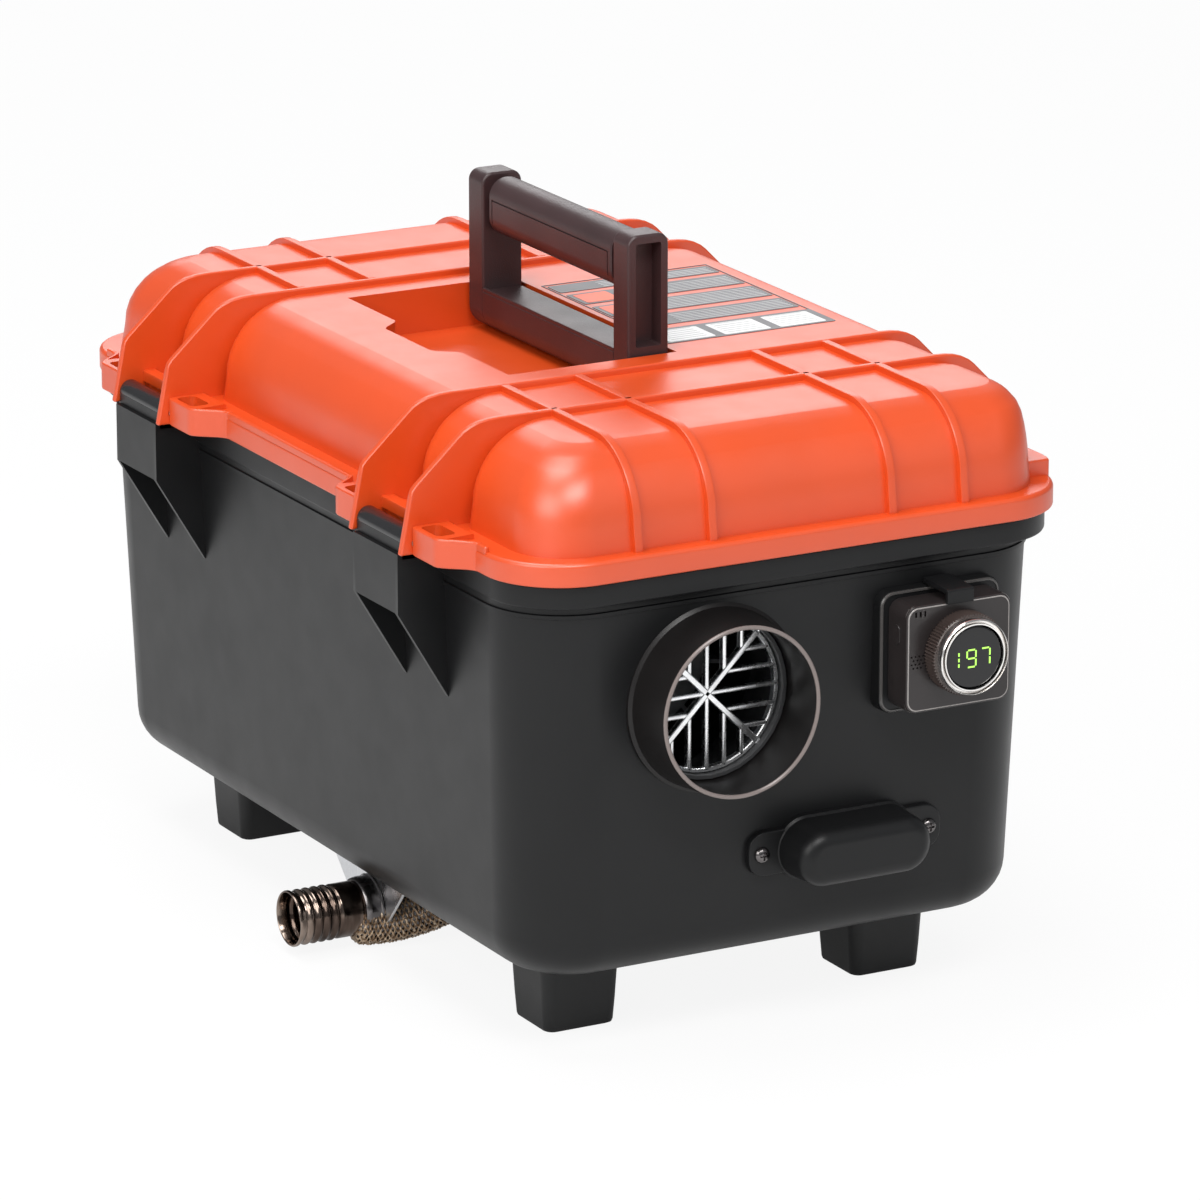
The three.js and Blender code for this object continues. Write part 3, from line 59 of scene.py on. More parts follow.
class Shader:
    """A procedural material: object coordinates in metres feed every pattern."""

    def __init__(self, name, base, rough, metal=0.0, specular=0.5, coat=0.0, coat_rough=0.1):
        self.mat = bpy.data.materials.new(name)
        self.mat.use_nodes = True
        self.tree = self.mat.node_tree
        self.bsdf = next(n for n in self.tree.nodes if n.type == "BSDF_PRINCIPLED")
        self.bsdf.inputs["Base Color"].default_value = (*base, 1)
        self.bsdf.inputs["Roughness"].default_value = rough
        self.bsdf.inputs["Metallic"].default_value = metal
        self.bsdf.inputs["Specular IOR Level"].default_value = specular
        self.bsdf.inputs["Coat Weight"].default_value = coat
        self.bsdf.inputs["Coat Roughness"].default_value = coat_rough
        self.base = base
        self.rough = rough
        self.coords = self.tree.nodes.new("ShaderNodeTexCoord")
        self.last_normal = None

    def node(self, kind, **values):
        made = self.tree.nodes.new(kind)
        for key, value in values.items():
            if key in made.inputs:
                made.inputs[key].default_value = value
            else:
                setattr(made, key, value)
        return made

    def link(self, a, b):
        self.tree.links.new(a, b)

    def mapped(self, scale=(1, 1, 1), rotation=(0, 0, 0)):
        mapping = self.tree.nodes.new("ShaderNodeMapping")
        mapping.inputs["Scale"].default_value = scale
        mapping.inputs["Rotation"].default_value = rotation
        self.link(self.coords.outputs["Object"], mapping.inputs["Vector"])
        return mapping.outputs["Vector"]

    def noise(self, size_mm, detail=2.0, rough=0.5, stretch=(1, 1, 1)):
        made = self.node("ShaderNodeTexNoise", Scale=1000.0 / size_mm, Detail=detail, Roughness=rough)
        self.link(self.mapped(stretch), made.inputs["Vector"])
        return made.outputs["Fac"]

    def ramp(self, value, stops):
        made = self.tree.nodes.new("ShaderNodeValToRGB")
        elements = made.color_ramp.elements
        while len(elements) < len(stops):
            elements.new(0.5)
        for element, (position, colour) in zip(elements, stops):
            element.position = position
            element.color = (*colour, 1)
        self.link(value, made.inputs["Fac"])
        return made.outputs["Color"]

    def vary_colour(self, size_mm, low, high, detail=2.0):
        stops = [(0.3, tuple(c * low for c in self.base)), (0.7, tuple(c * high for c in self.base))]
        self.link(self.ramp(self.noise(size_mm, detail), stops), self.bsdf.inputs["Base Color"])
        return self

    def vary_rough(self, size_mm, low, high, detail=3.0, stretch=(1, 1, 1)):
        made = self.node("ShaderNodeMapRange")
        made.inputs["From Min"].default_value = 0.3
        made.inputs["From Max"].default_value = 0.7
        made.inputs["To Min"].default_value = low
        made.inputs["To Max"].default_value = high
        self.link(self.noise(size_mm, detail, stretch=stretch), made.inputs["Value"])
        self.link(made.outputs["Result"], self.bsdf.inputs["Roughness"])
        return self

    def bump(self, height, distance_mm, strength=1.0):
        made = self.node("ShaderNodeBump", Strength=strength, Distance=distance_mm / 1000.0)
        self.link(height, made.inputs["Height"])
        if self.last_normal is not None:
            self.link(self.last_normal, made.inputs["Normal"])
        self.last_normal = made.outputs["Normal"]
        self.link(self.last_normal, self.bsdf.inputs["Normal"])
        return self

    def grain(self, size_mm, distance_mm, strength=1.0, detail=2.0, stretch=(1, 1, 1)):
        return self.bump(self.noise(size_mm, detail, 0.6, stretch), distance_mm, strength)


def moulded(name, base, rough, grain_mm=0.9, depth_mm=0.02, low=0.95, high=1.05, specular=0.5):
    shader = Shader(name, base, rough, specular=specular)
    shader.vary_colour(45, low, high)
    shader.vary_rough(18, rough - 0.02, rough + 0.03)
    shader.grain(grain_mm, depth_mm)
    return shader.mat


def brushed(name, base, rough, stretch, size_mm=0.7, depth_mm=0.012):
    shader = Shader(name, base, rough, metal=1.0)
    shader.vary_colour(25, 0.9, 1.08)
    shader.vary_rough(6, rough - 0.07, rough + 0.1, stretch=stretch)
    shader.grain(size_mm, depth_mm, stretch=stretch)
    return shader.mat


def tinted_steel(name):
    """Heat-tinted stainless tube: straw and brown bands that shift along the tube."""
    shader = Shader(name, (0.36, 0.29, 0.24), 0.2, metal=1.0)
    tone = shader.noise(14, 3.0, 0.6, stretch=(1.6, 0.5, 0.5))
    shader.link(shader.ramp(tone, [(0.25, (0.04, 0.029, 0.025)), (0.45, (0.11, 0.08, 0.065)),
                                   (0.6, (0.27, 0.215, 0.18)), (0.8, (0.12, 0.08, 0.06))]),
                shader.bsdf.inputs["Base Color"])
    shader.vary_rough(5, 0.1, 0.26)
    shader.grain(1.2, 0.015, stretch=(0.3, 1, 1))
    return shader.mat


def braid_strands(name):
    shader = Shader(name, (0.3, 0.21, 0.14), 0.3, metal=0.8, specular=0.6)
    tone = shader.noise(2.5, 3.0, 0.7)
    shader.link(shader.ramp(tone, [(0.3, (0.16, 0.1, 0.06)), (0.5, (0.42, 0.3, 0.2)),
                                   (0.68, (0.8, 0.66, 0.5))]),
                shader.bsdf.inputs["Base Color"])
    shader.grain(0.35, 0.06, 1.0, 3.0)
    return shader.mat


def glowing(name, colour, strength):
    shader = Shader(name, (0.02, 0.03, 0.01), 0.3)
    shader.vary_colour(3, 0.9, 1.1)
    shader.bsdf.inputs["Emission Color"].default_value = (*colour, 1)
    shader.bsdf.inputs["Emission Strength"].default_value = strength
    return shader.mat


def translucent_white(name):
    shader = Shader(name, (0.72, 0.7, 0.6), 0.38)
    shader.vary_colour(60, 0.94, 1.05)
    shader.vary_rough(14, 0.32, 0.45)
    shader.grain(1.4, 0.03)
    shader.bsdf.inputs["Subsurface Weight"].default_value = 0.15
    shader.bsdf.inputs["Subsurface Radius"].default_value = (0.004, 0.004, 0.003)
    return shader.mat


def board_green(name):
    shader = Shader(name, (0.01, 0.09, 0.04), 0.35, coat=0.4)
    shader.link(shader.ramp(shader.noise(3.0, 3.0), [(0.42, (0.008, 0.07, 0.03)), (0.5, (0.012, 0.13, 0.06)),
                                                      (0.58, (0.25, 0.19, 0.06))]),
                shader.bsdf.inputs["Base Color"])
    shader.grain(2.0, 0.05)
    return shader.mat


MATS = {
    "lid_orange": moulded("orange_plastic", (0.63, 0.062, 0.005), 0.37, 0.8, 0.012, 0.97, 1.03, 0.95),
    "case_black": moulded("black_plastic", (0.0075, 0.0077, 0.0082), 0.38, 0.7, 0.02, specular=0.28),
    "foot_rubber": moulded("foot_plastic", (0.0085, 0.0087, 0.0092), 0.44, 0.8, 0.025, specular=0.36),
    "handle_brown": moulded("handle_plastic", (0.042, 0.021, 0.022), 0.38, 0.75, 0.1, 0.8, 1.2, 0.55),
    "display_dark": moulded("display_cover", (0.006, 0.006, 0.007), 0.09, 2.0, 0.002),
    "bright_steel": brushed("bright_steel", (0.66, 0.67, 0.69), 0.26, (1, 1, 0.1)),
    "exhaust_steel": tinted_steel("exhaust_steel"),
    "exhaust_wrap": braid_strands("braided_sleeve"),
    "cast_aluminium": brushed("cast_aluminium", (0.52, 0.53, 0.54), 0.45, (1, 1, 1), 1.5, 0.06),
    "heater_casing": moulded("heater_casing", (0.05, 0.051, 0.053), 0.5, 1.2, 0.04),
    "tank_white": translucent_white("tank_plastic"),
    "cap_black": moulded("cap_plastic", (0.02, 0.02, 0.021), 0.5, 1.0, 0.04),
    "hose_rubber": moulded("hose_rubber", (0.014, 0.014, 0.015), 0.45, 1.5, 0.02),
    "board": board_green("coated_board"),
    "plug_brass": brushed("plug_brass", (0.62, 0.46, 0.2), 0.3, (1, 0.1, 1)),
}
GRILLE = brushed("grille_metal", (0.86, 0.87, 0.88), 0.24, (1, 1, 1), 1.2, 0.01)
CHROME = brushed("knob_ring", (0.88, 0.86, 0.84), 0.16, (1, 0.2, 1), 0.8, 0.004)
KNURL = moulded("knurled_grip", (0.055, 0.04, 0.036), 0.26, 0.8, 0.02, specular=0.7)
PANEL = moulded("controller_face", (0.022, 0.018, 0.018), 0.3, 0.8, 0.012)
DIGITS = glowing("display_digits", (0.45, 0.95, 0.12), 1.6)
SHEET_GREY = moulded("sheet_grey", (0.1, 0.098, 0.105), 0.42, 0.9, 0.008)
SHEET_ORANGE = moulded("sheet_orange", (0.86, 0.1, 0.02), 0.4, 0.9, 0.006)
SHEET_WHITE = moulded("sheet_white", (0.7, 0.7, 0.7), 0.45, 0.9, 0.006)
SHEET_LINE = moulded("sheet_rule", (0.42, 0.42, 0.43), 0.45, 0.9, 0.006)
DARK_STEEL = brushed("dark_collar", (0.16, 0.15, 0.15), 0.2, (0.2, 1, 1), 1.0, 0.01)

slot_of = {s["node"]: s["material_slot"] for s in frame["record"]["subparts"]}
for name, obj in frame["nodes"].items():
    obj.data.materials.clear()
    obj.data.materials.append(MATS[slot_of[name]])


# ---------------------------------------------------------------- mesh helpers
def make(name, verts, faces):
    mesh = bpy.data.meshes.new(name)
    mesh.from_pydata([tuple(v) for v in verts], [], faces)
    obj = bpy.data.objects.new(name, mesh)
    scene.collection.objects.link(obj)
    bm = bmesh.new()
    bm.from_mesh(mesh)
    bmesh.ops.remove_doubles(bm, verts=bm.verts, dist=1e-4)
    bmesh.ops.recalc_face_normals(bm, faces=bm.faces)
    bm.to_mesh(mesh)
    bm.free()
    return obj


def applied(obj):
    graph = bpy.context.evaluated_depsgraph_get()
    graph.update()
    mesh = bpy.data.meshes.new_from_object(obj.evaluated_get(graph))
    old = obj.data
    obj.modifiers.clear()
    obj.data = mesh
    bpy.data.meshes.remove(old)
    return obj


def bevel(obj, width, segments=2, angle=32):
    mod = obj.modifiers.new("bevel", "BEVEL")
    mod.width = width
    mod.segments = segments
    mod.limit_method = "ANGLE"
    mod.angle_limit = math.radians(angle)
    mod.use_clamp_overlap = True
    return applied(obj)


def boolean(obj, others, operation):
    for other in others:
        mod = obj.modifiers.new("boolean", "BOOLEAN")
        mod.operation = operation
        mod.solver = "EXACT"
        mod.object = other
        applied(obj)
        old = other.data
        bpy.data.objects.remove(other)
        bpy.data.meshes.remove(old)
    return obj


def cut(obj, *others):
    return boolean(obj, others, "DIFFERENCE")


def weld(obj, *others):
    return boolean(obj, others, "UNION")


def merge(name, objs):
    """Several closed shells as one object."""
    bm = bmesh.new()
    for obj in objs:
        bm.from_mesh(obj.data)
    mesh = bpy.data.meshes.new(name)
    bm.to_mesh(mesh)
    bm.free()
    for obj in objs:
        old = obj.data
        bpy.data.objects.remove(obj)
        bpy.data.meshes.remove(old)
    made = bpy.data.objects.new(name, mesh)
    scene.collection.objects.link(made)
    return made


def place(obj, name, body, slot, material=None, replaces=(), angle=34, weighted=True):
    obj.name = name
    obj.data.transform(Matrix.Translation(SHIFT))
    obj.data.transform(Matrix.Scale(0.001, 4))
    obj.data.materials.clear()
    obj.data.materials.append(material or MATS[slot])
    obj.data.polygons.foreach_set("use_smooth", [True] * len(obj.data.polygons))
    obj.data.set_sharp_from_angle(angle=math.radians(angle))
    if weighted:
        mod = obj.modifiers.new("normals", "WEIGHTED_NORMAL")
        mod.keep_sharp = True
        applied(obj)
    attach(obj, body)
    if replaces:
        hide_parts(*replaces)
    return obj


def outline(cx, cy, half_x, half_y, radii, steps=8):
    """Rounded rectangle; radii start at +x+y and run counter-clockwise."""
    if not isinstance(radii, (tuple, list)):
        radii = (radii,) * 4
    points = []
    signs = ((1, 1), (-1, 1), (-1, -1), (1, -1))
    for k, ((sx, sy), radius) in enumerate(zip(signs, radii)):
        px = cx + sx * (half_x - radius)
        py = cy + sy * (half_y - radius)
        for i in range(steps + 1):
            a = math.radians(90 * k + 90 * i / steps)
            points.append((px + radius * math.cos(a), py + radius * math.sin(a)))
    return points


def loft(name, rings, up="z"):
    """Closed solid through rings of [(u, v), ...] at a level; up names the axis of the levels."""
    count = len(rings[0][0])
    verts, faces = [], []
    for points, level in rings:
        for u, v in points:
            verts.append({"z": (u, v, level), "y": (u, level, v), "x": (level, u, v)}[up])
    for r in range(len(rings) - 1):
        for i in range(count):
            j = (i + 1) % count
            faces.append((r * count + i, r * count + j, (r + 1) * count + j, (r + 1) * count + i))
    faces.append(tuple(range(count - 1, -1, -1)))
    faces.append(tuple(range((len(rings) - 1) * count, len(rings) * count)))
    return make(name, verts, faces)


def prism(name, points, low, high, up="y"):
    return loft(name, [(points, low), (points, high)], up)


def block(name, x0, x1, y0, y1, z0, z1):
    return prism(name, [(x0, y0), (x1, y0), (x1, y1), (x0, y1)], z0, z1, "z")


def turned(name, profile, axis, centre, segments=64):
    """Revolves a closed [(radius, along), ...] profile about an axis through centre."""
    verts, faces = [], []
    count = len(profile)
    for s in range(segments):
        a = 2 * math.pi * s / segments
        for radius, along in profile:
            u, v = radius * math.cos(a), radius * math.sin(a)
            verts.append({"x": (along, centre[0] + u, centre[1] + v),
                          "y": (centre[0] + u, along, centre[1] + v),
                          "z": (centre[0] + u, centre[1] + v, along)}[axis])
    for s in range(segments):
        t = (s + 1) % segments
        for i in range(count):
            j = (i + 1) % count
            faces.append((s * count + i, s * count + j, t * count + j, t * count + i))
    obj = make(name, verts, faces)
    bm = bmesh.new()
    bm.from_mesh(obj.data)
    bmesh.ops.dissolve_degenerate(bm, dist=1e-4, edges=bm.edges)
    bmesh.ops.recalc_face_normals(bm, faces=bm.faces)
    bm.to_mesh(obj.data)
    bm.free()
    return obj


def rod(name, radius, low, high, axis, centre, segments=32):
    return turned(name, [(0, low), (radius, low), (radius, high), (0, high)], axis, centre, segments)


def arc(cu, cv, radius, start, end, steps):
    return [(cu + radius * math.cos(math.radians(start + (end - start) * i / steps)),
             cv + radius * math.sin(math.radians(start + (end - start) * i / steps)))
            for i in range(steps + 1)]


# ---------------------------------------------------------------- camera, floor and light
AZIMUTH = math.radians(-28.58)
ELEVATION = math.radians(16.57)
back = Vector((math.sin(AZIMUTH) * math.cos(ELEVATION), -math.cos(AZIMUTH) * math.cos(ELEVATION),
               math.sin(ELEVATION)))
right = Vector((math.cos(AZIMUTH), math.sin(AZIMUTH), 0.0))
above = back.cross(right)
camera_data = bpy.data.cameras.new("camera")
camera_data.sensor_width = 36.0
camera_data.lens = 7252.0 / 1200.0 * 36.0
camera_data.clip_end = 60.0
camera = bpy.data.objects.new("camera", camera_data)
scene.collection.objects.link(camera)
spot = (back * 3515.0 + right * 18.99 + above * 142.36 + Vector((2.0, 0.0, -1.1)) + SHIFT) / 1000.0
camera.matrix_world = Matrix.Translation(spot) @ Matrix((right, above, back)).transposed().to_4x4()
scene.camera = camera

scene.view_settings.view_transform = "Standard"


def seen_directly(tree):
    """1 for the camera, less for what glossy surfaces show, 0 for the light itself."""
    path = tree.nodes.new("ShaderNodeLightPath")
    first = tree.nodes.new("ShaderNodeMath")
    first.operation = "MAXIMUM"
    tree.links.new(path.outputs["Is Camera Ray"], first.inputs[0])
    dimmed = tree.nodes.new("ShaderNodeMath")
    dimmed.operation = "MULTIPLY"
    dimmed.inputs[1].default_value = 0.34
    tree.links.new(path.outputs["Is Glossy Ray"], dimmed.inputs[0])
    tree.links.new(dimmed.outputs[0], first.inputs[1])
    second = tree.nodes.new("ShaderNodeMath")
    second.operation = "MAXIMUM"
    tree.links.new(first.outputs[0], second.inputs[0])
    tree.links.new(path.outputs["Is Transmission Ray"], second.inputs[1])
    return second.outputs[0]


def make_floor():
    size = 14.0
    mesh = bpy.data.meshes.new("floor")
    mesh.from_pydata([(-size, -size, 0), (size, -size, 0), (size, size, 0), (-size, size, 0)], [], [(0, 1, 2, 3)])
    floor = bpy.data.objects.new("floor", mesh)
    scene.collection.objects.link(floor)
    mat = bpy.data.materials.new("floor_white")
    mat.use_nodes = True
    tree = mat.node_tree
    tree.nodes.clear()
    out = tree.nodes.new("ShaderNodeOutputMaterial")
    diffuse = tree.nodes.new("ShaderNodeBsdfDiffuse")
    diffuse.inputs["Color"].default_value = (0.82, 0.82, 0.82, 1)
    glow = tree.nodes.new("ShaderNodeEmission")
    glow.inputs["Color"].default_value = (1, 1, 1, 1)
    share = tree.nodes.new("ShaderNodeMath")
    share.operation = "MULTIPLY"
    share.inputs[1].default_value = 0.9
    mix = tree.nodes.new("ShaderNodeMixShader")
    tree.links.new(seen_directly(tree), share.inputs[0])
    tree.links.new(share.outputs[0], mix.inputs["Fac"])
    tree.links.new(diffuse.outputs[0], mix.inputs[1])
    tree.links.new(glow.outputs[0], mix.inputs[2])
    tree.links.new(mix.outputs[0], out.inputs["Surface"])
    floor.data.materials.append(mat)


def make_world():
    world = bpy.data.worlds.new("studio")
    scene.world = world
    world.use_nodes = True
    tree = world.node_tree
    tree.nodes.clear()
    out = tree.nodes.new("ShaderNodeOutputWorld")
    soft = tree.nodes.new("ShaderNodeBackground")
    soft.inputs["Color"].default_value = (0.93, 0.96, 1.0, 1)
    soft.inputs["Strength"].default_value = 0.27
    white = tree.nodes.new("ShaderNodeBackground")
    white.inputs["Color"].default_value = (1, 1, 1, 1)
    white.inputs["Strength"].default_value = 1.0
    path = tree.nodes.new("ShaderNodeLightPath")
    mix = tree.nodes.new("ShaderNodeMixShader")
    tree.links.new(path.outputs["Is Camera Ray"], mix.inputs["Fac"])
    tree.links.new(soft.outputs[0], mix.inputs[1])
    tree.links.new(white.outputs[0], mix.inputs[2])
    tree.links.new(mix.outputs[0], out.inputs["Surface"])


def softbox(name, position, target, size, power, colour=(1, 1, 1)):
    data = bpy.data.lights.new(name, "AREA")
    data.shape = "RECTANGLE"
    data.size, data.size_y = size
    data.energy = power
    data.color = colour
    lamp = bpy.data.objects.new(name, data)
    scene.collection.objects.link(lamp)
    lamp.location = position
    direction = Vector(target) - Vector(position)
    lamp.rotation_euler = direction.to_track_quat("-Z", "Y").to_euler()


make_floor()
make_world()
softbox("key_left", (-2.6, -1.2, 1.9), (0, 0, 0.2), (2.2, 1.8), 60, (1.0, 0.99, 0.97))
softbox("overhead", (-0.5, 0.3, 2.7), (0, 0, 0.2), (1.5, 1.3), 38)
softbox("front_right", (1.6, -2.9, 1.5), (0, 0, 0.15), (1.6, 1.6), 4, (0.97, 0.98, 1.0))
softbox("front_high", (-0.4, -1.9, 2.5), (0, -0.1, 0.28), (1.6, 0.9), 52, (1.0, 0.99, 0.98))
softbox("rim_back", (1.4, 2.8, 1.6), (0, 0, 0.25), (1.8, 1.2), 20)


# ---------------------------------------------------------------- tub
BAND_TOP = 230.6


def tub_ring(z, inset=0.0, steps=14):
    c = (219.6 - z) * 0.033 + inset
    return outline(0, 0, 137.6 - c, 228.0 - c, max(38 - inset, 8), steps), z


def fillet_rings(bottom, radius, offset, steps=9):
    rings = []
    for i in range(steps + 1):
        a = math.pi / 2 * i / steps
        rings.append(tub_ring(bottom + radius * (1 - math.cos(a)), offset + radius * (1 - math.sin(a))))
    return rings


def wall_lug(side, cy, width, reach_x, top, height, drop):
    root = side * (137.6 - (219.6 - top + drop) * 0.033 - 1.5)
    root_top = side * (137.6 - 1.5)
    cheek = [(reach_x, top), (root_top, top), (root, top - drop), (reach_x, top - height)]
    lo, hi = sorted((reach_x, reach_x - side * 3.0))
    cap_lo, cap_hi = sorted((reach_x, root_top))
    y0, y1 = cy - width / 2, cy + width / 2
    body = prism("cheek_front", cheek, y0, y0 + 3, "y")
    weld(body, prism("cheek_rear", cheek, y1 - 3, y1, "y"),
         block("plate", lo, hi, y0, y1, top - height, top),
         block("cap", cap_lo, cap_hi, y0, y1, top - 3, top))
    return bevel(body, 0.7, 2)


def build_tub():
    rings = fillet_rings(38.5, 20, 0)
    rings += [tub_ring(z) for z in (90, 130, 170, 205, 213.4)]
    rings += [tub_ring(213.8, -0.9), tub_ring(215.4, -0.9), tub_ring(215.8), tub_ring(218.2), tub_ring(219.6, -0.8)]
    for z, inset in ((219.6, 1.2), (220.0, 0.4), (220.8, 0.0), (229.6, 0.0), (230.3, 0.3), (230.6, 1.0)):
        rings.append((outline(RIM_X, 0, 142 - inset, 233.6 - inset, 37 - inset, 14), z))
    rings.append(tub_ring(230.6, 3))
    rings += [tub_ring(z, 3) for z in (205, 130)]
    rings += fillet_rings(41.5, 17, 3)[::-1]
    body = loft("tub_body", rings)
    cutters = [
        rod("c", 42.8, -240, -205, "y", (-42, 167.5), 72),
        rod("c", 44.3, 205, 240, "y", (-42, 167.5), 72),
        rod("c", 9.8, 205, 240, "y", (62, 92)),
        rod("c", 12.6, 30, 50, "z", (-58, -43)),
        rod("c", 10.3, 30, 50, "z", (-14, 40)),
        rod("c", 2.2, -240, -205, "y", (-16.5, 88.7), 16),
        rod("c", 2.2, -240, -205, "y", (71.5, 88.7), 16),
    ]
    cut(body, *cutters)
    pieces = [body]
    for cy in (-127, 127):
        lug = wall_lug(-1, cy, 44.4, -161.0, 230.6, 28, 73)
        web = bevel(block("web", -159, -148, cy - 22.2, cy + 22.2, 227.6, 236.3), 0.4, 1)
        pieces += [lug, web]
        pieces.append(wall_lug(1, cy, 36, 154.9, 214.6, 20, 34))
    place(merge("tub_shell", pieces), "tub_shell", "case", "case_black", replaces=["tub"])
    bars = []
    for cy in (-127, 127):
        profile = [(2.5, cy - 22.2), (5.1, cy - 22.2), (5.5, cy - 21.8), (5.5, cy + 21.8), (5.1, cy + 22.2),
                   (2.5, cy + 22.2)]
        bars.append(turned("bar", profile, "y", (-153.5, 236.3), 36))
    place(merge("hinge_bars", bars), "hinge_bars", "case", "case_black",
          moulded("hinge_bar_plastic", (0.012, 0.012, 0.013), 0.2, 1.2, 0.006, specular=0.6))


def build_feet():
    places = {"front_left": (-1, -1), "front_right": (1, -1), "rear_left": (-1, 1), "rear_right": (1, 1)}
    for name, (sx, sy) in places.items():
        cx, cy = sx * 81.4, sy * 158.7
        rings = []
        for z, grow, corner in ((0, -1.4, 4), (0.5, -0.4, 4.6), (1.5, 0, 5), (12, 0.8, 5.4), (25, 1.6, 6), (36, 2.4, 7),
                                (38.2, 2.5, 7.5)):
            rings.append((outline(cx, cy, 18 + grow, 17 + grow, corner, 6), z))
        place(loft("foot", rings), f"foot_block_{name}", "case", "foot_rubber", replaces=[f"foot_{name}"])


# ---------------------------------------------------------------- lid
FLANGE_BOTTOM, FLANGE_TOP, DOME_TOP, RIB_TOP = 230.9, 241.9, 286.3, 289.2
ROUND, LATCH_ROUND = 34.0, 14.0
FIN_YS = [s * y for s in (-1, 1) for y in (102.4, 151.6)]


def shoulder(z, radius):
    """How far the dome's side has come in at a height, for a shoulder of a given radius."""
    start = DOME_TOP - radius
    if z <= start:
        return 1.5 * max(z - FLANGE_TOP, 0.0) / (start - FLANGE_TOP)
    rise = min(z - start, radius)
    return 1.5 + radius - math.sqrt(max(radius * radius - rise * rise, 0.0))


def dome_heights(steps=9):
    heights = [FLANGE_TOP - 3, FLANGE_TOP, FLANGE_TOP + 5]
    heights += [DOME_TOP - ROUND + ROUND * math.sin(math.pi / 2 * i / steps) for i in range(steps)]
    heights += [DOME_TOP - LATCH_ROUND * (1 - math.sin(math.radians(a))) for a in (20, 50, 72)] + [DOME_TOP]
    return sorted(heights)


def dome_ring(z, low, high, radii, inward=0.0):
    left = RIM_X - 133 + shoulder(z, ROUND) + inward
    right_x = RIM_X + 133 - shoulder(z, LATCH_ROUND) - inward
    return outline((left + right_x) / 2, (low + high) / 2, (right_x - left) / 2, (high - low) / 2, radii, 9)


def dome_block(name, y_low, y_high, soft_low, soft_high):
    """A part of the dome between two fins; a soft end is an outer end with the full shoulder."""
    rings = []
    near = 12.0
    for z in dome_heights():
        inset = shoulder(z, ROUND)
        outer = max(28 - 0.5 * inset, 9)
        high = outer if soft_high else near
        low = outer if soft_low else near
        rings.append((dome_ring(z, y_low + (inset if soft_low else 0), y_high - (inset if soft_high else 0),
                                (high, high, low, low)), z))
    return loft(name, rings)


def recess_points(grow=0.0):
    """The handle recess from above; the finger notch swings out in two S curves."""
    y0, y1 = -80.3 - grow, 84.3 + grow
    left, right_x = -68 - grow, 20.5 + grow
    half = 22 + grow
    points = [(right_x, y0), (right_x, y1), (left, y1)]
    for i in range(9):
        t = i / 8
        s = t * t * (3 - 2 * t)
        points.append((left - 11 * s, half + 13 * (1 - t)))
    for i in range(9):
        t = i / 8
        s = t * t * (3 - 2 * t)
        points.append((left - 11 * (1 - s), -half - 13 * t))
    points.append((left, y0))
    return points


def fin_points():
    hinge = [(110, 289.2), (116, 288.9), (121.6, 288.0), (126, 286.4), (129.4, 284.6), (132, 282.4), (153.6, 262.6),
             (155.4, 260.4), (156.2, 257.7), (161.6, FLANGE_BOTTOM)]
    latch = [(117.5, 289.2), (123, 288.9), (127.6, 288.2), (132, 286.8), (135.6, 284.9), (138.4, 282.6), (155, 265.8),
             (158.2, 262.4), (160.2, 258.2), (165.6, FLANGE_BOTTOM)]
    return latch + [(-x, z) for x, z in reversed(hinge)]


def rib_points(sign):
    start = DOME_TOP - ROUND
    centre = 228.5 - 1.5 - ROUND
    outer = ROUND + 2.9
    points = [(104, RIB_TOP)] + [(y, z) for y, z in arc(centre, start, outer, 90, 0, 12)]
    points += [(centre + outer + 1.2, FLANGE_TOP + 3), (centre + outer + 1.6, FLANGE_TOP - 1)]
    points += [(centre + ROUND - 2, FLANGE_TOP - 1)]
    points += arc(centre, start, ROUND - 2, 0, 90, 12) + [(104, DOME_TOP - 2)]
    return [(sign * y, z) for y, z in points]


def flange_body():
    rings = []
    for z, inset in ((230.9, 1.0), (231.3, 0.3), (232.0, 0.0), (239.9, 0.0), (241.0, 0.45), (241.7, 1.3), (241.9, 2.2)):
        rings.append((outline(RIM_X, 0, 145 - inset, 236.6 - inset, 38 - inset, 16), z))
    return loft("flange", rings)


def strap_eye(cy, side):
    """The flange swells out beside a fin, with a pocket through it."""
    near = cy + side * 26.2
    edge = RIM_X - 145
    points = [(edge + 6, near), (edge - 12.6, near), (edge - 13.2, near + side * 3), (edge - 13.2, near + side * 20)]
    for i in range(9):
        t = i / 8
        s = t * t * (3 - 2 * t)
        points.append((edge - 13.2 + 13.4 * s, near + side * (22 + 16 * t)))
    points.append((edge + 6, near + side * 38))
    body = bevel(prism("eye", points, 230.9, 244.4, "z"), 0.9, 3, 25)
    valley = [(edge + 8, near + side * 24)]
    valley += [(min(x + 2.7, edge + 8), y) for x, y in points[4:-1] if abs(y - near) > 24] + [(edge + 8, near + side * 40)]
    return cut(body, prism("pocket", outline(edge - 5.6, near + side * 12, 5.0, 8.8, 3.0, 6), 228, 248, "z"),
               prism("valley", valley, 241.6, 248, "z"))


def latch_step(side):
    """The flange's raised step behind a latch."""
    inner, outer = side * 90, side * 209
    points = [(120, inner), (145.6, inner), (147, inner + side * 1.4), (147, outer - side * 9), (146.4, outer - side * 4),
              (145, outer), (120, outer)]
    return bevel(prism("step", points, FLANGE_TOP - 2, FLANGE_TOP + 7.6, "z"), 1.3, 3, 25)


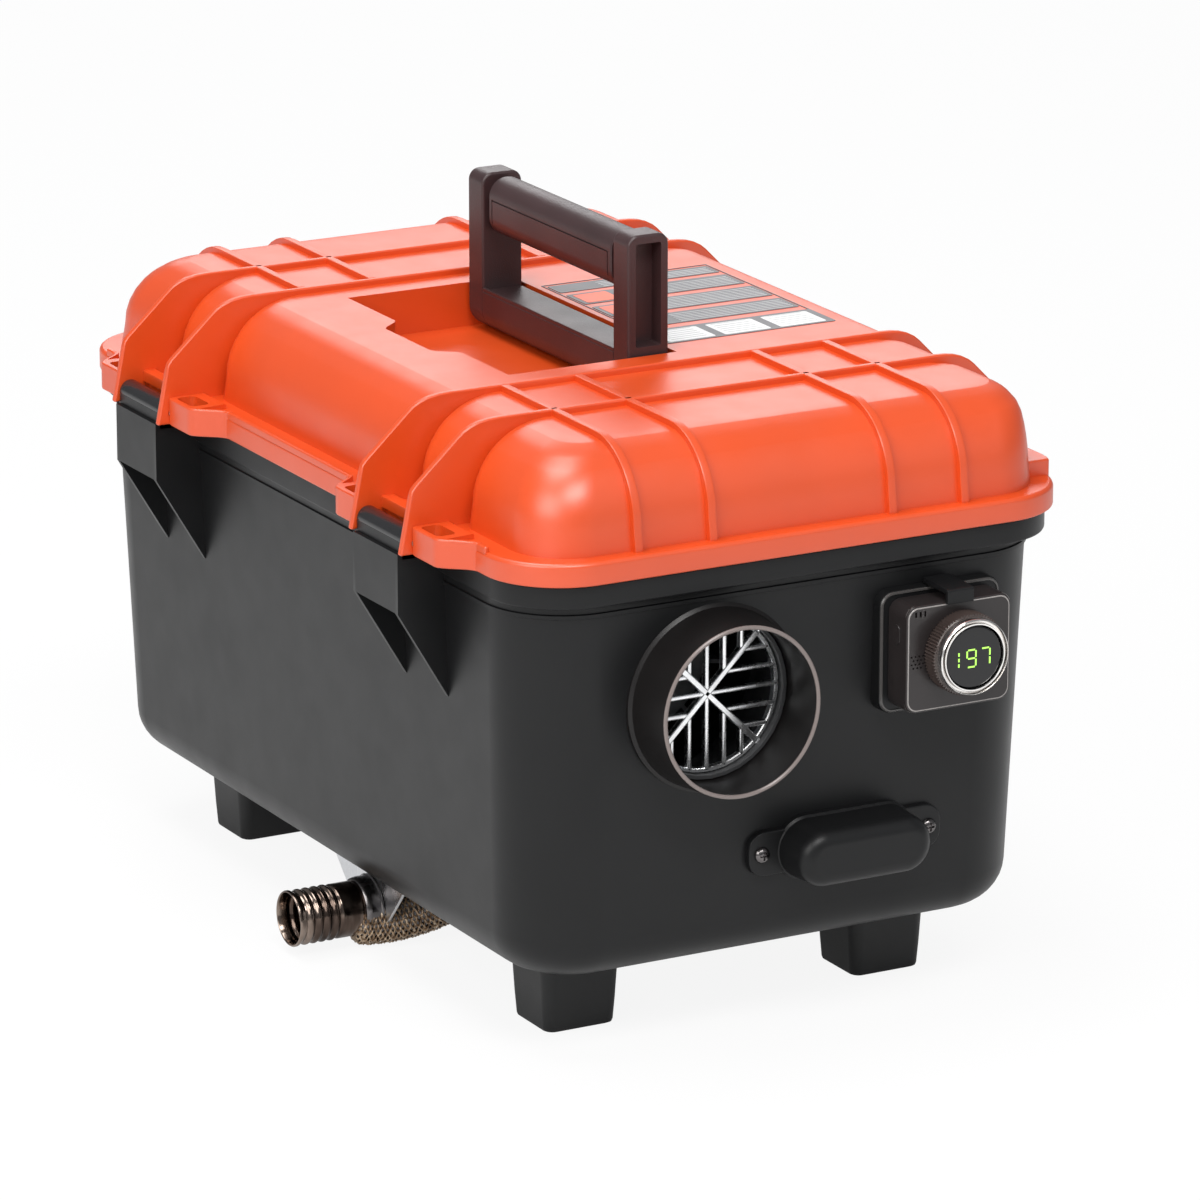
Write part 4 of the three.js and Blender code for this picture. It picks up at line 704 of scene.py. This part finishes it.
def dome_cavity():
    rings = []
    for z in dome_heights(7)[1:]:
        inset = shoulder(z, ROUND)
        rings.append((dome_ring(z, -225.5 + inset, 225.5 - inset, max(25 - 0.5 * inset, 7), 3.0),
                      z - 3 if z > FLANGE_TOP else 225.0))
    cavity = loft("cavity", rings)
    cut(cavity, prism("keep", recess_points(3.0), 261.5, 300, "z"))
    for y in FIN_YS:
        cut(cavity, prism("gusset", [(-145, 220), (-112, 220), (-112, 248), (-78, 290), (-145, 290)], y - 15, y + 15),
            prism("gusset", [(150, 220), (116, 220), (116, 266), (100, 290), (150, 290)], y - 15, y + 15))
    return cavity


def build_lid():
    body = flange_body()
    blocks = [
        dome_block("middle", -101, 101, False, False),
        dome_block("pair_front", -150.4, -103.6, False, False),
        dome_block("pair_rear", 103.6, 150.4, False, False),
        dome_block("end_front", -228.5, -152.6, True, False),
        dome_block("end_rear", 152.6, 228.5, False, True),
    ]
    fins = [bevel(prism("fin", fin_points(), y - 1.8, y + 1.8, "y"), 1.0, 3, 40) for y in FIN_YS]
    ribs = []
    for x in (-84.5, -46.5, 46.5, 84.5):
        for sign in (-1, 1):
            ribs.append(bevel(prism("rib", rib_points(sign), RIM_X + x - 2.1, RIM_X + x + 2.1, "x"), 0.7, 2, 60))
    for piece in blocks + [latch_step(-1), latch_step(1)]:
        weld(body, piece)
    for piece in fins + ribs:
        weld(body, piece)
    recess = prism("recess", recess_points(), 264.5, 300, "z")
    cut(body, dome_cavity())
    cut(body, recess)
    for cy in (-127, 127):
        cut(body, rod("c", 2.5, cy - 30, cy + 30, "y", (-153.5, 236.3), 16),
            rod("c", 2.5, cy - 30, cy + 30, "y", (157.5, 239.9), 16))
    cut(body, rod("c", 2.5, -84, -70, "y", (6.75, 276.25), 16), rod("c", 2.5, 74, 88, "y", (6.75, 276.25), 16))
    pieces = [body]
    for cy in (-127, 127):
        for side in (-1, 1):
            pieces.append(strap_eye(cy, side))
        pieces.append(bevel(block("stop", -146, -139.5, cy - 25, cy + 25, 239.5, 245.2), 0.7, 2))
    for y0, y1 in ((-63.4, 63.4), (-199, -190.6), (190.6, 199)):
        pieces.append(bevel(block("lip", -142.9, -140.5, y0, y1, 240.6, 244.4), 0.8, 3))
    pieces.append(bevel(block("hook", -142.6, -140.6, 186, 194, 224.4, 232.5), 0.4, 2))
    place(merge("lid_shell", pieces), "lid_shell", "lid", "lid_orange", replaces=["lid"], angle=30)


ROWS = [(-34, -15), (-9, 12), (18, 38), (43, 57)]
SHEET = {
    "sheet_base": (SHEET_GREY, 0.25, [(24, 115, -66, -40.5)] + [(25.5, 113.5, y0, y1) for y0, y1 in ROWS]
                   + [(24, 24.7, -40.5, 60), (114.3, 115, -40.5, 60), (24.7, 114.3, 59.3, 60)]),
    "sheet_lines": (SHEET_LINE, 0.35, [(50, 111, y0 + 1.6 + 2.6 * i, y0 + 2.6 + 2.6 * i) for y0, y1 in ROWS
                                       for i in range(int((y1 - y0 - 2) / 2.6))]
                    + [(x + 4, x + 23, -61 + 3.2 * i, -60.4 + 3.2 * i) for x in (24.6, 54.6, 84.6) for i in range(6)]),
    "sheet_stripes": (SHEET_ORANGE, 0.35, [(28, 46, 20, 36), (28, 46, -7, 10)]),
    "sheet_boxes": (SHEET_WHITE, 0.3, [(26, 51, -64, -43.5), (56, 81, -64, -43.5), (86, 111, -64, -43.5)]),
}


def build_sheet():
    """A plain printed sheet on the lid's flat top: blocks and stripes only."""
    for name, (material, rise, rects) in SHEET.items():
        pieces = [prism("patch", outline((x0 + x1) / 2, (y0 + y1) / 2, (x1 - x0) / 2, (y1 - y0) / 2,
                                         min(1.2, (x1 - x0) * 0.3, (y1 - y0) * 0.3), 3),
                        DOME_TOP - 0.2, DOME_TOP + rise, "z") for x0, x1, y0, y1 in rects]
        place(merge(name, pieces), name, "lid", "lid_orange", material, weighted=False)


# ---------------------------------------------------------------- handle
HANDLE_Z, HANDLE_TOP = 276.25, 343.5


def build_handle():
    half = 80.0
    legs = []
    for sign in (-1, 1):
        outer = 2 + sign * half
        inner = outer - sign * 15
        y0, y1 = sorted((outer, inner))
        points = arc(6.75, HANDLE_Z, 10.75, 180, 360, 18)
        points += arc(17.5 - 5.5, HANDLE_TOP - 5.5, 5.5, 0, 90, 7)
        points += arc(-4 + 5.5, HANDLE_TOP - 5.5, 5.5, 90, 180, 7)
        leg = bevel(prism("leg", points, y0, y1, "y"), 1.3, 3, 40)
        legs.append((leg, sign, outer))
    made = []
    for leg, sign, outer in legs:
        c0, c1 = sorted((outer + sign * 2, outer - sign * 9))
        cutter = prism("hollow", outline(6.75, (290 + 339.3) / 2, 6.7, (339.3 - 290) / 2, 1.0, 4), c0, c1, "y")
        made.append(cut(leg, cutter))
    bar_points = arc(6.75, HANDLE_Z, 10.75, 180, 360, 18) + [(17.5, 285.2), (16.6, 286.2), (-3.1, 286.2), (-4, 285.2)]
    made.append(prism("bar", bar_points, -63.5, 67.5, "y"))
    lip_front = bevel(block("lip", -4, -2.2, -63.5, 67.5, 285.5, 287.4), 0.4, 2)
    made.append(lip_front)
    place(merge("handle_body", made), "handle_body", "handle", "handle_brown", replaces=["handle_frame"])

    centre_z = 328.0
    sections = [(-62.7, 3.0, 6.0), (-59.4, 3.0, 6.0), (-59.1, 0.5, 8.6), (-58.2, 0.0, 9.0), (62.2, 0.0, 9.0),
                (63.1, 0.5, 8.6), (63.4, 3.0, 6.0), (66.7, 3.0, 6.0)]
    rings = [(outline(6.75, centre_z, 9.55 - inset, 14 - inset, radius, 8), y) for y, inset, radius in sections]
    body = loft("grip", rings, "y")
    grooves = []
    x_face = -2.8
    for y0, y1, z0, z1 in ((-56, 60, 331.4, 332.2), (-56, 60, 318.2, 319.0), (-56, -55.2, 318.2, 332.2), (59.2, 60, 318.2, 332.2)):
        grooves.append(block("groove", x_face - 2, x_face + 0.7, y0, y1, z0, z1))
    cut(body, *grooves)
    place(body, "handle_grip_sleeve", "handle", "handle_brown", replaces=["handle_grip"])


# ---------------------------------------------------------------- front face
def build_outlet():
    lip, inside = -254.0, -221.4
    profile = [(39.5, inside + 2.5), (39.5, -229.5), (38.2, lip + 1.4), (38.3, lip + 0.6), (40.1, lip + 0.6),
               (40.3, lip + 1.5), (42.4, -230.4), (42.7, -228.9), (43.6, -228.2), (44.3, -227.7), (44.3, -224.0), (42.5, -224.0),
               (42.5, inside), (47, inside), (47, inside + 2.5)]
    place(turned("ring", profile, "y", (-42, 167.5), 120), "outlet_collar", "case", "case_black",
          moulded("outlet_plastic", (0.0085, 0.0075, 0.0075), 0.34, 0.7, 0.012, specular=0.3), replaces=["outlet_ring"])
    # A thin lighter ring on the collar's lip: a painted highlight along the edge.
    edge = [(38.25, lip + 0.9), (38.3, lip + 0.4), (38.8, lip), (39.6, lip), (40.1, lip + 0.4), (40.2, lip + 0.9)]
    place(turned("edge", edge, "y", (-42, 167.5), 120), "outlet_edge", "case", "case_black",
          moulded("painted_highlight_edge", (0.2, 0.165, 0.155), 0.26, 2, 0.004))
    front, rear = inside, inside + 3.5
    reach = 37.0
    bars = []

    def strip(u0, u1, v0, v1):
        return bevel(block("bar", -42 + u0, -42 + u1, front, rear, 167.5 + v0, 167.5 + v1), 0.8, 3)

    for offset in (-27, -18, -9, 0, 9, 18, 27):
        near = abs(offset)
        far = math.sqrt(reach * reach - offset * offset) - 0.3
        bars.append(strip(offset - 1.2, offset + 1.2, near, far))
        bars.append(strip(offset - 1.2, offset + 1.2, -far, -near))
        bars.append(strip(near, far, offset - 1.2, offset + 1.2))
        bars.append(strip(-far, -near, offset - 1.2, offset + 1.2))
    for angle in (45, 135):
        bar = bevel(block("cross", -reach + 0.5, reach - 0.5, front - 0.3, rear, -1.6, 1.6), 0.75, 3)
        bar.data.transform(Matrix.Rotation(math.radians(angle), 4, "Y"))
        bar.data.transform(Matrix.Translation((-42, 0, 167.5)))
        bars.append(bar)
    profile = [(34.9, front + 0.5), (35.3, front), (36.6, front), (37.0, front + 0.5), (37.0, rear), (34.9, rear)]
    bars.append(turned("rim", profile, "y", (-42, 167.5), 96))
    place(merge("grille", bars), "outlet_guard", "case", "bright_steel", GRILLE, replaces=["outlet_grille"])


def build_controller():
    def slab(name, cx, half_x, half_z, corner, y_front, y_back, edge):
        rings = [(outline(cx, 177, half_x - edge * k, half_z - edge * k, corner - edge * k * 0.6, 8), y)
                 for k, y in ((1, y_front), (0.3, y_front + edge * 0.3), (0, y_front + edge), (0, y_back))]
        return loft(name, rings, "y")

    dock = slab("dock", 72.6, 31.9, 29, 7, -233.0, -226.3, 1.0)
    place(dock, "controller_mount", "case", "case_black", replaces=["controller_dock"])
    # A lighter ring round the mount's front edge: a painted highlight line, not a real seam.
    mount_highlight_ring = loft("mount_highlight_ring", [(outline(72.6, 177, 30.9, 28.0, 6.2, 8), -233.5), (outline(72.6, 177, 31.4, 28.5, 6.6, 8), -232.7)], "y")
    cut(mount_highlight_ring, prism("c", outline(72.6, 177, 30.2, 27.3, 5.6, 8), -235, -231, "y"))
    place(mount_highlight_ring, "mount_highlight_edge", "case", "case_black", moulded("mount_highlight_edge", (0.07, 0.066, 0.064), 0.24, 2, 0.004))
    body = slab("body", 73.2, 27.8, 25.5, 6, -248.8, -233.3, 1.3)
    cutters = []
    for i in range(3):
        cutters.append(block("slot", 50.0 + 2.4 * i, 51.0 + 2.4 * i, -250, -247.2, 197.0, 199.6))
    for row in range(4):
        for col in range(3 if row % 2 else 4):
            x = 48.4 + 2.0 * col + (1.0 if row % 2 else 0.0)
            cutters.append(rod("dot", 0.5, -250, -247.8, "y", (x, 178.6 - 1.8 * row), 10))
    cut(body, *cutters)
    place(body, "controller_case", "case", "case_black", PANEL, replaces=["controller_body"])
    # A lighter rim round the controller's front: a painted highlight along the edge.
    rim = loft("rim", [(outline(73.2, 177, 26.6, 24.3, 5.1, 8), -248.86), (outline(73.2, 177, 27.75, 25.45, 5.9, 8), -247.6)], "y")
    inner = loft("rim_in", [(outline(73.2, 177, 26.2, 23.9, 4.8, 8), -250), (outline(73.2, 177, 26.2, 23.9, 4.8, 8), -246)], "y")
    cut(rim, inner)
    place(rim, "controller_edge", "case", "case_black", moulded("painted_highlight_rim", (0.3, 0.28, 0.27), 0.22, 2, 0.004))
    button = bevel(prism("button", outline(-241, 188, 2.6, 4.6, 2.5, 8), 44.8, 46, "x"), 0.25, 2)
    place(button, "side_button", "case", "case_black", PANEL)

    teeth = 78
    ring_points = []
    for i in range(teeth * 2):
        a = math.pi * i / teeth
        r = 19.3 if i % 2 else 18.3
        ring_points.append((74 + r * math.cos(a), 178.5 + r * math.sin(a)))
    knurl = loft("knurl", [(ring_points, -257.1), (ring_points, -249.1)], "y")
    cut(knurl, rod("c", 15.2, -262, -248, "y", (74, 178.5), 64))
    place(knurl, "knob_grip", "knob", "bright_steel", KNURL, angle=20, weighted=False)
    profile = [(14.95, -257), (14.95, -261.3), (15.2, -261.9), (15.8, -261.9), (16.0, -261.4), (16.15, -259.6),
               (16.85, -259.6), (17.0, -261.3), (17.3, -262.1), (17.8, -261.6), (18.0, -260.6), (18.0, -257.6), (17.6, -257)]
    place(turned("bezel", profile, "y", (74, 178.5), 96), "knob_bezel", "knob", "bright_steel", CHROME,
          replaces=["controller_knob"])
    cover = [(0, -260.9), (13.4, -260.9), (14.3, -260.6), (14.6, -259.8), (14.6, -249.1), (0, -249.1)]
    place(turned("cover", cover, "y", (74, 178.5), 72), "display_cover", "case", "display_dark", replaces=["display"])

    segments = {"a": (0, 1), "b": (1, 0.5), "c": (1, -0.5), "d": (0, -1), "e": (-1, -0.5), "f": (-1, 0.5), "g": (0, 0)}
    digits = {"9": "abcdfg", "7": "abc"}
    made = []

    def digit(char, cx, cz, w=2.3, h=4.0):
        for key in digits[char]:
            sx, sz = segments[key]
            if key in "adg":
                made.append(block("s", cx - w + 0.5, cx + w - 0.5, -261.05, -260.85, cz + sz * h - 0.36, cz + sz * h + 0.36))
            else:
                made.append(block("s", cx + sx * w - 0.36, cx + sx * w + 0.36, -261.05, -260.85,
                                  cz + sz * h - h / 2 + 0.4, cz + sz * h + h / 2 - 0.4))

    digit("9", 72.6, 178.0)
    digit("7", 80.0, 178.0)
    for z in (175.4, 178.0, 180.6):
        made.append(block("mark", 65.6, 66.3, -261.05, -260.85, z - 0.8, z + 0.8))
    place(merge("digits", made), "display_figures", "case", "display_dark", DIGITS, weighted=False)

    tab = [(-229.3, 206.3), (-229.3, 209.3), (-246.5, 208.7), (-250.6, 208.5), (-251.3, 207.8), (-251.3, 201.5),
           (-249.1, 201.5), (-249.1, 206.3)]
    place(bevel(prism("tab", tab, 65.5, 79.5, "x"), 0.5, 2), "controller_tab", "clip", "case_black",
          replaces=["controller_clip"])


def build_pod():
    wall_y = -228 + (219.6 - 88.7) * 0.033
    front = wall_y - 26
    rings = []
    for i in range(9):
        a = math.radians(90 * i / 8)
        inset = 7 * (1 - math.sin(a))
        rings.append((outline(27.5, 88.7, 34.5 - inset, 13.5 - inset, 13.5 - inset, 12), front + 7 * (1 - math.cos(a))))
    rings.append((outline(27.5, 88.7, 35.2, 14.2, 14.2, 12), wall_y - 4))
    rings.append((outline(27.5, 88.7, 36.2, 15.2, 15.2, 12), wall_y - 3))
    rings.append((outline(27.5, 88.7, 36.2, 15.2, 15.2, 12), wall_y + 1))
    pod = loft("pod", rings, "y")
    pieces = [pod]
    pieces.append(bevel(prism("ears", outline(27.5, 88.7, 50.5, 10.5, 8, 10), wall_y - 3.5, wall_y + 1, "y"), 0.8, 3, 40))
    place(merge("cover", pieces), "service_pod", "case", "case_black", replaces=["service_cover"])
    for x, name in ((-16.5, "left"), (71.5, "right")):
        seat = wall_y - 3.8
        profile = [(0, seat - 2.2), (1.6, seat - 2.15), (2.8, seat - 1.7), (3.6, seat - 0.8), (3.8, seat), (0, seat)]
        head = turned("head", profile, "y", (x, 88.7), 32)
        cut(head, block("s", x - 2.1, x + 2.1, seat - 4, seat - 0.9, 88.2, 89.2),
            block("s", x - 0.5, x + 0.5, seat - 4, seat - 0.9, 86.6, 90.8))
        place(head, f"pod_screw_{name}", "case", "bright_steel", DARK_STEEL, replaces=[f"cover_screw_{name}"])


# ---------------------------------------------------------------- exhaust
EX_Y, EX_Z = -20.0, 18.0


def build_exhaust():
    mouth = -154.5
    outer, inner = [], []
    outer += [(12.3, mouth + 0.4), (12.7, mouth), (13.2, mouth), (13.5, mouth + 0.5), (13.5, mouth + 1.5), (12.9, mouth + 2.4)]
    for k in range(4):
        start = mouth + 4 + 4.4 * k
        for i in range(10):
            r = 12.3 + 1.1 * (0.5 - 0.5 * math.cos(2 * math.pi * i / 9))
            outer.append((r, start + 4.4 * i / 9))
            inner.append((r - 0.8, start + 4.4 * i / 9))
    outer += [(12.8, mouth + 22.4), (13.1, mouth + 23.2), (13.1, mouth + 33)]
    inner += [(11.8, mouth + 24)]
    end = mouth + 47
    outer += [(12.4, mouth + 34), (12.3, end)]
    profile = outer + [(11.2, end), (11.2, mouth + 27)] + list(reversed(inner))
    place(turned("stub", profile, "x", (EX_Y, EX_Z), 72), "exhaust_tube", "case", "exhaust_steel",
          replaces=["exhaust_stub"])
    band = [(12.5, -119.5), (13.4, -119.8), (14.0, -119.2), (14.4, -118.0), (14.6, -116.5), (14.6, -112.6), (15.2, -112.2), (15.2, -111.4),
            (12.5, -111.4)]
    place(turned("band", band, "x", (EX_Y, EX_Z), 64), "exhaust_collar", "case", "bright_steel", DARK_STEEL,
          replaces=["exhaust_clamp"])


def bezier_chain(points, per_span=14):
    """Smooth points through a few places (Catmull-Rom)."""
    places = [Vector(p) for p in points]
    padded = [places[0] * 2 - places[1]] + places + [places[-1] * 2 - places[-2]]
    out = []
    for k in range(1, len(padded) - 2):
        p0, p1, p2, p3 = padded[k - 1:k + 3]
        for i in range(per_span):
            t = i / per_span
            out.append(0.5 * ((2 * p1) + (p2 - p0) * t + (2 * p0 - 5 * p1 + 4 * p2 - p3) * t * t
                              + (3 * p1 - p0 - 3 * p2 + p3) * t ** 3))
    out.append(places[-1])
    return out


def frames_along(points):
    tangents = []
    for i in range(len(points)):
        a, b = points[max(i - 1, 0)], points[min(i + 1, len(points) - 1)]
        tangents.append((b - a).normalized())
    normal = Vector((0, 0, 1))
    normal = (normal - tangents[0] * normal.dot(tangents[0])).normalized()
    out = []
    for point, tangent in zip(points, tangents):
        normal = (normal - tangent * normal.dot(tangent)).normalized()
        out.append((point, normal, tangent.cross(normal)))
    return out


def build_sleeve():
    route = bezier_chain([(-122.5, -22, 12.6), (-114, -23.5, 12.2), (-104, -26.5, 12.8), (-94, -30, 15), (-83, -34, 19),
                          (-71, -39, 27), (-62, -42, 40), (-58, -43, 60), (-58, -43, 100), (-58, -43, 124)], 14)
    rings = frames_along(route)
    lengths = [0.0]
    for a, b in zip(route, route[1:]):
        lengths.append(lengths[-1] + (b - a).length)
    verts, faces = [], []
    sides = 24

    def swell(i):
        """The sleeve's radius: closed in at its open end, snug in the floor's hole."""
        start = min(lengths[i] / 7.0, 1.0)
        return (0.62 + 0.38 * math.sqrt(start * (2 - start))) * 11.6

    for i, (point, n, b) in enumerate(rings):
        for s in range(sides):
            a = 2 * math.pi * s / sides
            verts.append(point + (n * math.cos(a) + b * math.sin(a)) * (swell(i) - 0.6))
    for r in range(len(rings) - 1):
        for s in range(sides):
            t = (s + 1) % sides
            faces.append((r * sides + s, r * sides + t, (r + 1) * sides + t, (r + 1) * sides + s))
    faces.append(tuple(range(sides - 1, -1, -1)))
    faces.append(tuple(range((len(rings) - 1) * sides, len(rings) * sides)))
    core = make("core", verts, faces)
    place(core, "exhaust_inner_pipe", "case", "exhaust_wrap", DARK_STEEL, replaces=["exhaust_pipe"], weighted=False)

    strands = 14
    lay = 34.0
    verts, faces = [], []
    for way in (-1, 1):
        for k in range(strands):
            phase = 2 * math.pi * k / strands
            previous = None
            for i, (point, n, b) in enumerate(rings):
                for sub in range(2):
                    if i == len(rings) - 1 and sub:
                        continue
                    f = sub * 0.5
                    if f and i + 1 < len(rings):
                        q, n2, b2 = rings[i + 1]
                        p = point.lerp(q, f)
                        nn = n.lerp(n2, f).normalized()
                        bb = b.lerp(b2, f).normalized()
                        along = lengths[i] + (lengths[i + 1] - lengths[i]) * f
                    else:
                        p, nn, bb, along = point, n, b, lengths[i]
                    angle = phase + way * 2 * math.pi * along / lay
                    wave = math.cos(strands * 2 * math.pi * along / lay + k * math.pi) * way
                    radius = swell(i) + 0.42 * wave
                    radial = nn * math.cos(angle) + bb * math.sin(angle)
                    side = (bb * math.cos(angle) - nn * math.sin(angle))
                    centre = p + radial * radius
                    width = 1.15
                    across = side * width
                    base = len(verts)
                    verts += [centre - across - radial * 0.25, centre - across * 0.6 + radial * 0.3,
                              centre + across * 0.6 + radial * 0.3, centre + across - radial * 0.25]
                    if previous is not None:
                        for e in range(3):
                            faces.append((previous + e, previous + e + 1, base + e + 1, base + e))
                    previous = base
    braid = make("braid", verts, faces)
    place(braid, "exhaust_braid", "case", "exhaust_wrap", weighted=False, angle=60)


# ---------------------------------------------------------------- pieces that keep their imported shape
BODY_OF = {node: name for name, nodes in frame["record"]["behaviour"]["bodies"].items() for node in nodes}
SOFT_EDGES = {
    "latch_front": 0.7, "latch_rear": 0.7, "inlet_ring": 0.6, "inlet_grille": 0.4, "power_socket": 0.6,
    "fuel_tank": 1.5, "fuel_cap": 0.6, "fuel_pump": 0.6, "pump_clip": 0.4, "fuel_filter": 0.6, "heater_cradle": 0.8,
    "heater_lower_casing": 0.5, "heater_upper_casing": 0.5, "outlet_duct": 0.4, "inlet_duct": 0.4, "motor_plate": 0.3,
    "fan_motor": 0.6, "control_board": 0.2, "main_fan": 0.2, "combustion_fan": 0.2, "fan_shaft": 0.3,
    "heat_exchanger": 0.2, "burner_tube": 0.3, "glow_plug": 0.2, "intake_pipe": 0.3, "intake_filter": 0.8,
    "exhaust_hanger": 0.2, "fuel_hose_heater": 0, "fuel_hose_tank": 0, "lid_seal": 0.3, "hinge_pin_front": 0.2,
    "hinge_pin_rear": 0.2, "latch_pin_front": 0.2, "latch_pin_rear": 0.2, "handle_pin_front": 0.2, "handle_pin_rear": 0.2,
}


def soften(node, width):
    """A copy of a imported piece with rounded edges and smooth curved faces."""
    source = frame["nodes"][node]
    obj = bpy.data.objects.new(f"{node}_finish", source.data.copy())
    obj.data.transform(source.matrix_world)
    scene.collection.objects.link(obj)
    bm = bmesh.new()
    bm.from_mesh(obj.data)
    bmesh.ops.remove_doubles(bm, verts=bm.verts, dist=1e-6)
    bmesh.ops.dissolve_limit(bm, angle_limit=math.radians(0.8), verts=bm.verts, edges=bm.edges)
    bm.to_mesh(obj.data)
    bm.free()
    if width:
        bevel(obj, width / 1000.0, 2, 36)
    obj.data.polygons.foreach_set("use_smooth", [True] * len(obj.data.polygons))
    obj.data.set_sharp_from_angle(angle=math.radians(34))
    mod = obj.modifiers.new("normals", "WEIGHTED_NORMAL")
    mod.keep_sharp = True
    applied(obj)
    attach(obj, BODY_OF[node])
    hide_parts(node)


build_tub()
build_feet()
build_lid()
build_sheet()
build_handle()
build_outlet()
build_controller()
build_pod()
build_exhaust()
build_sleeve()
for name, width in SOFT_EDGES.items():
    soften(name, width)
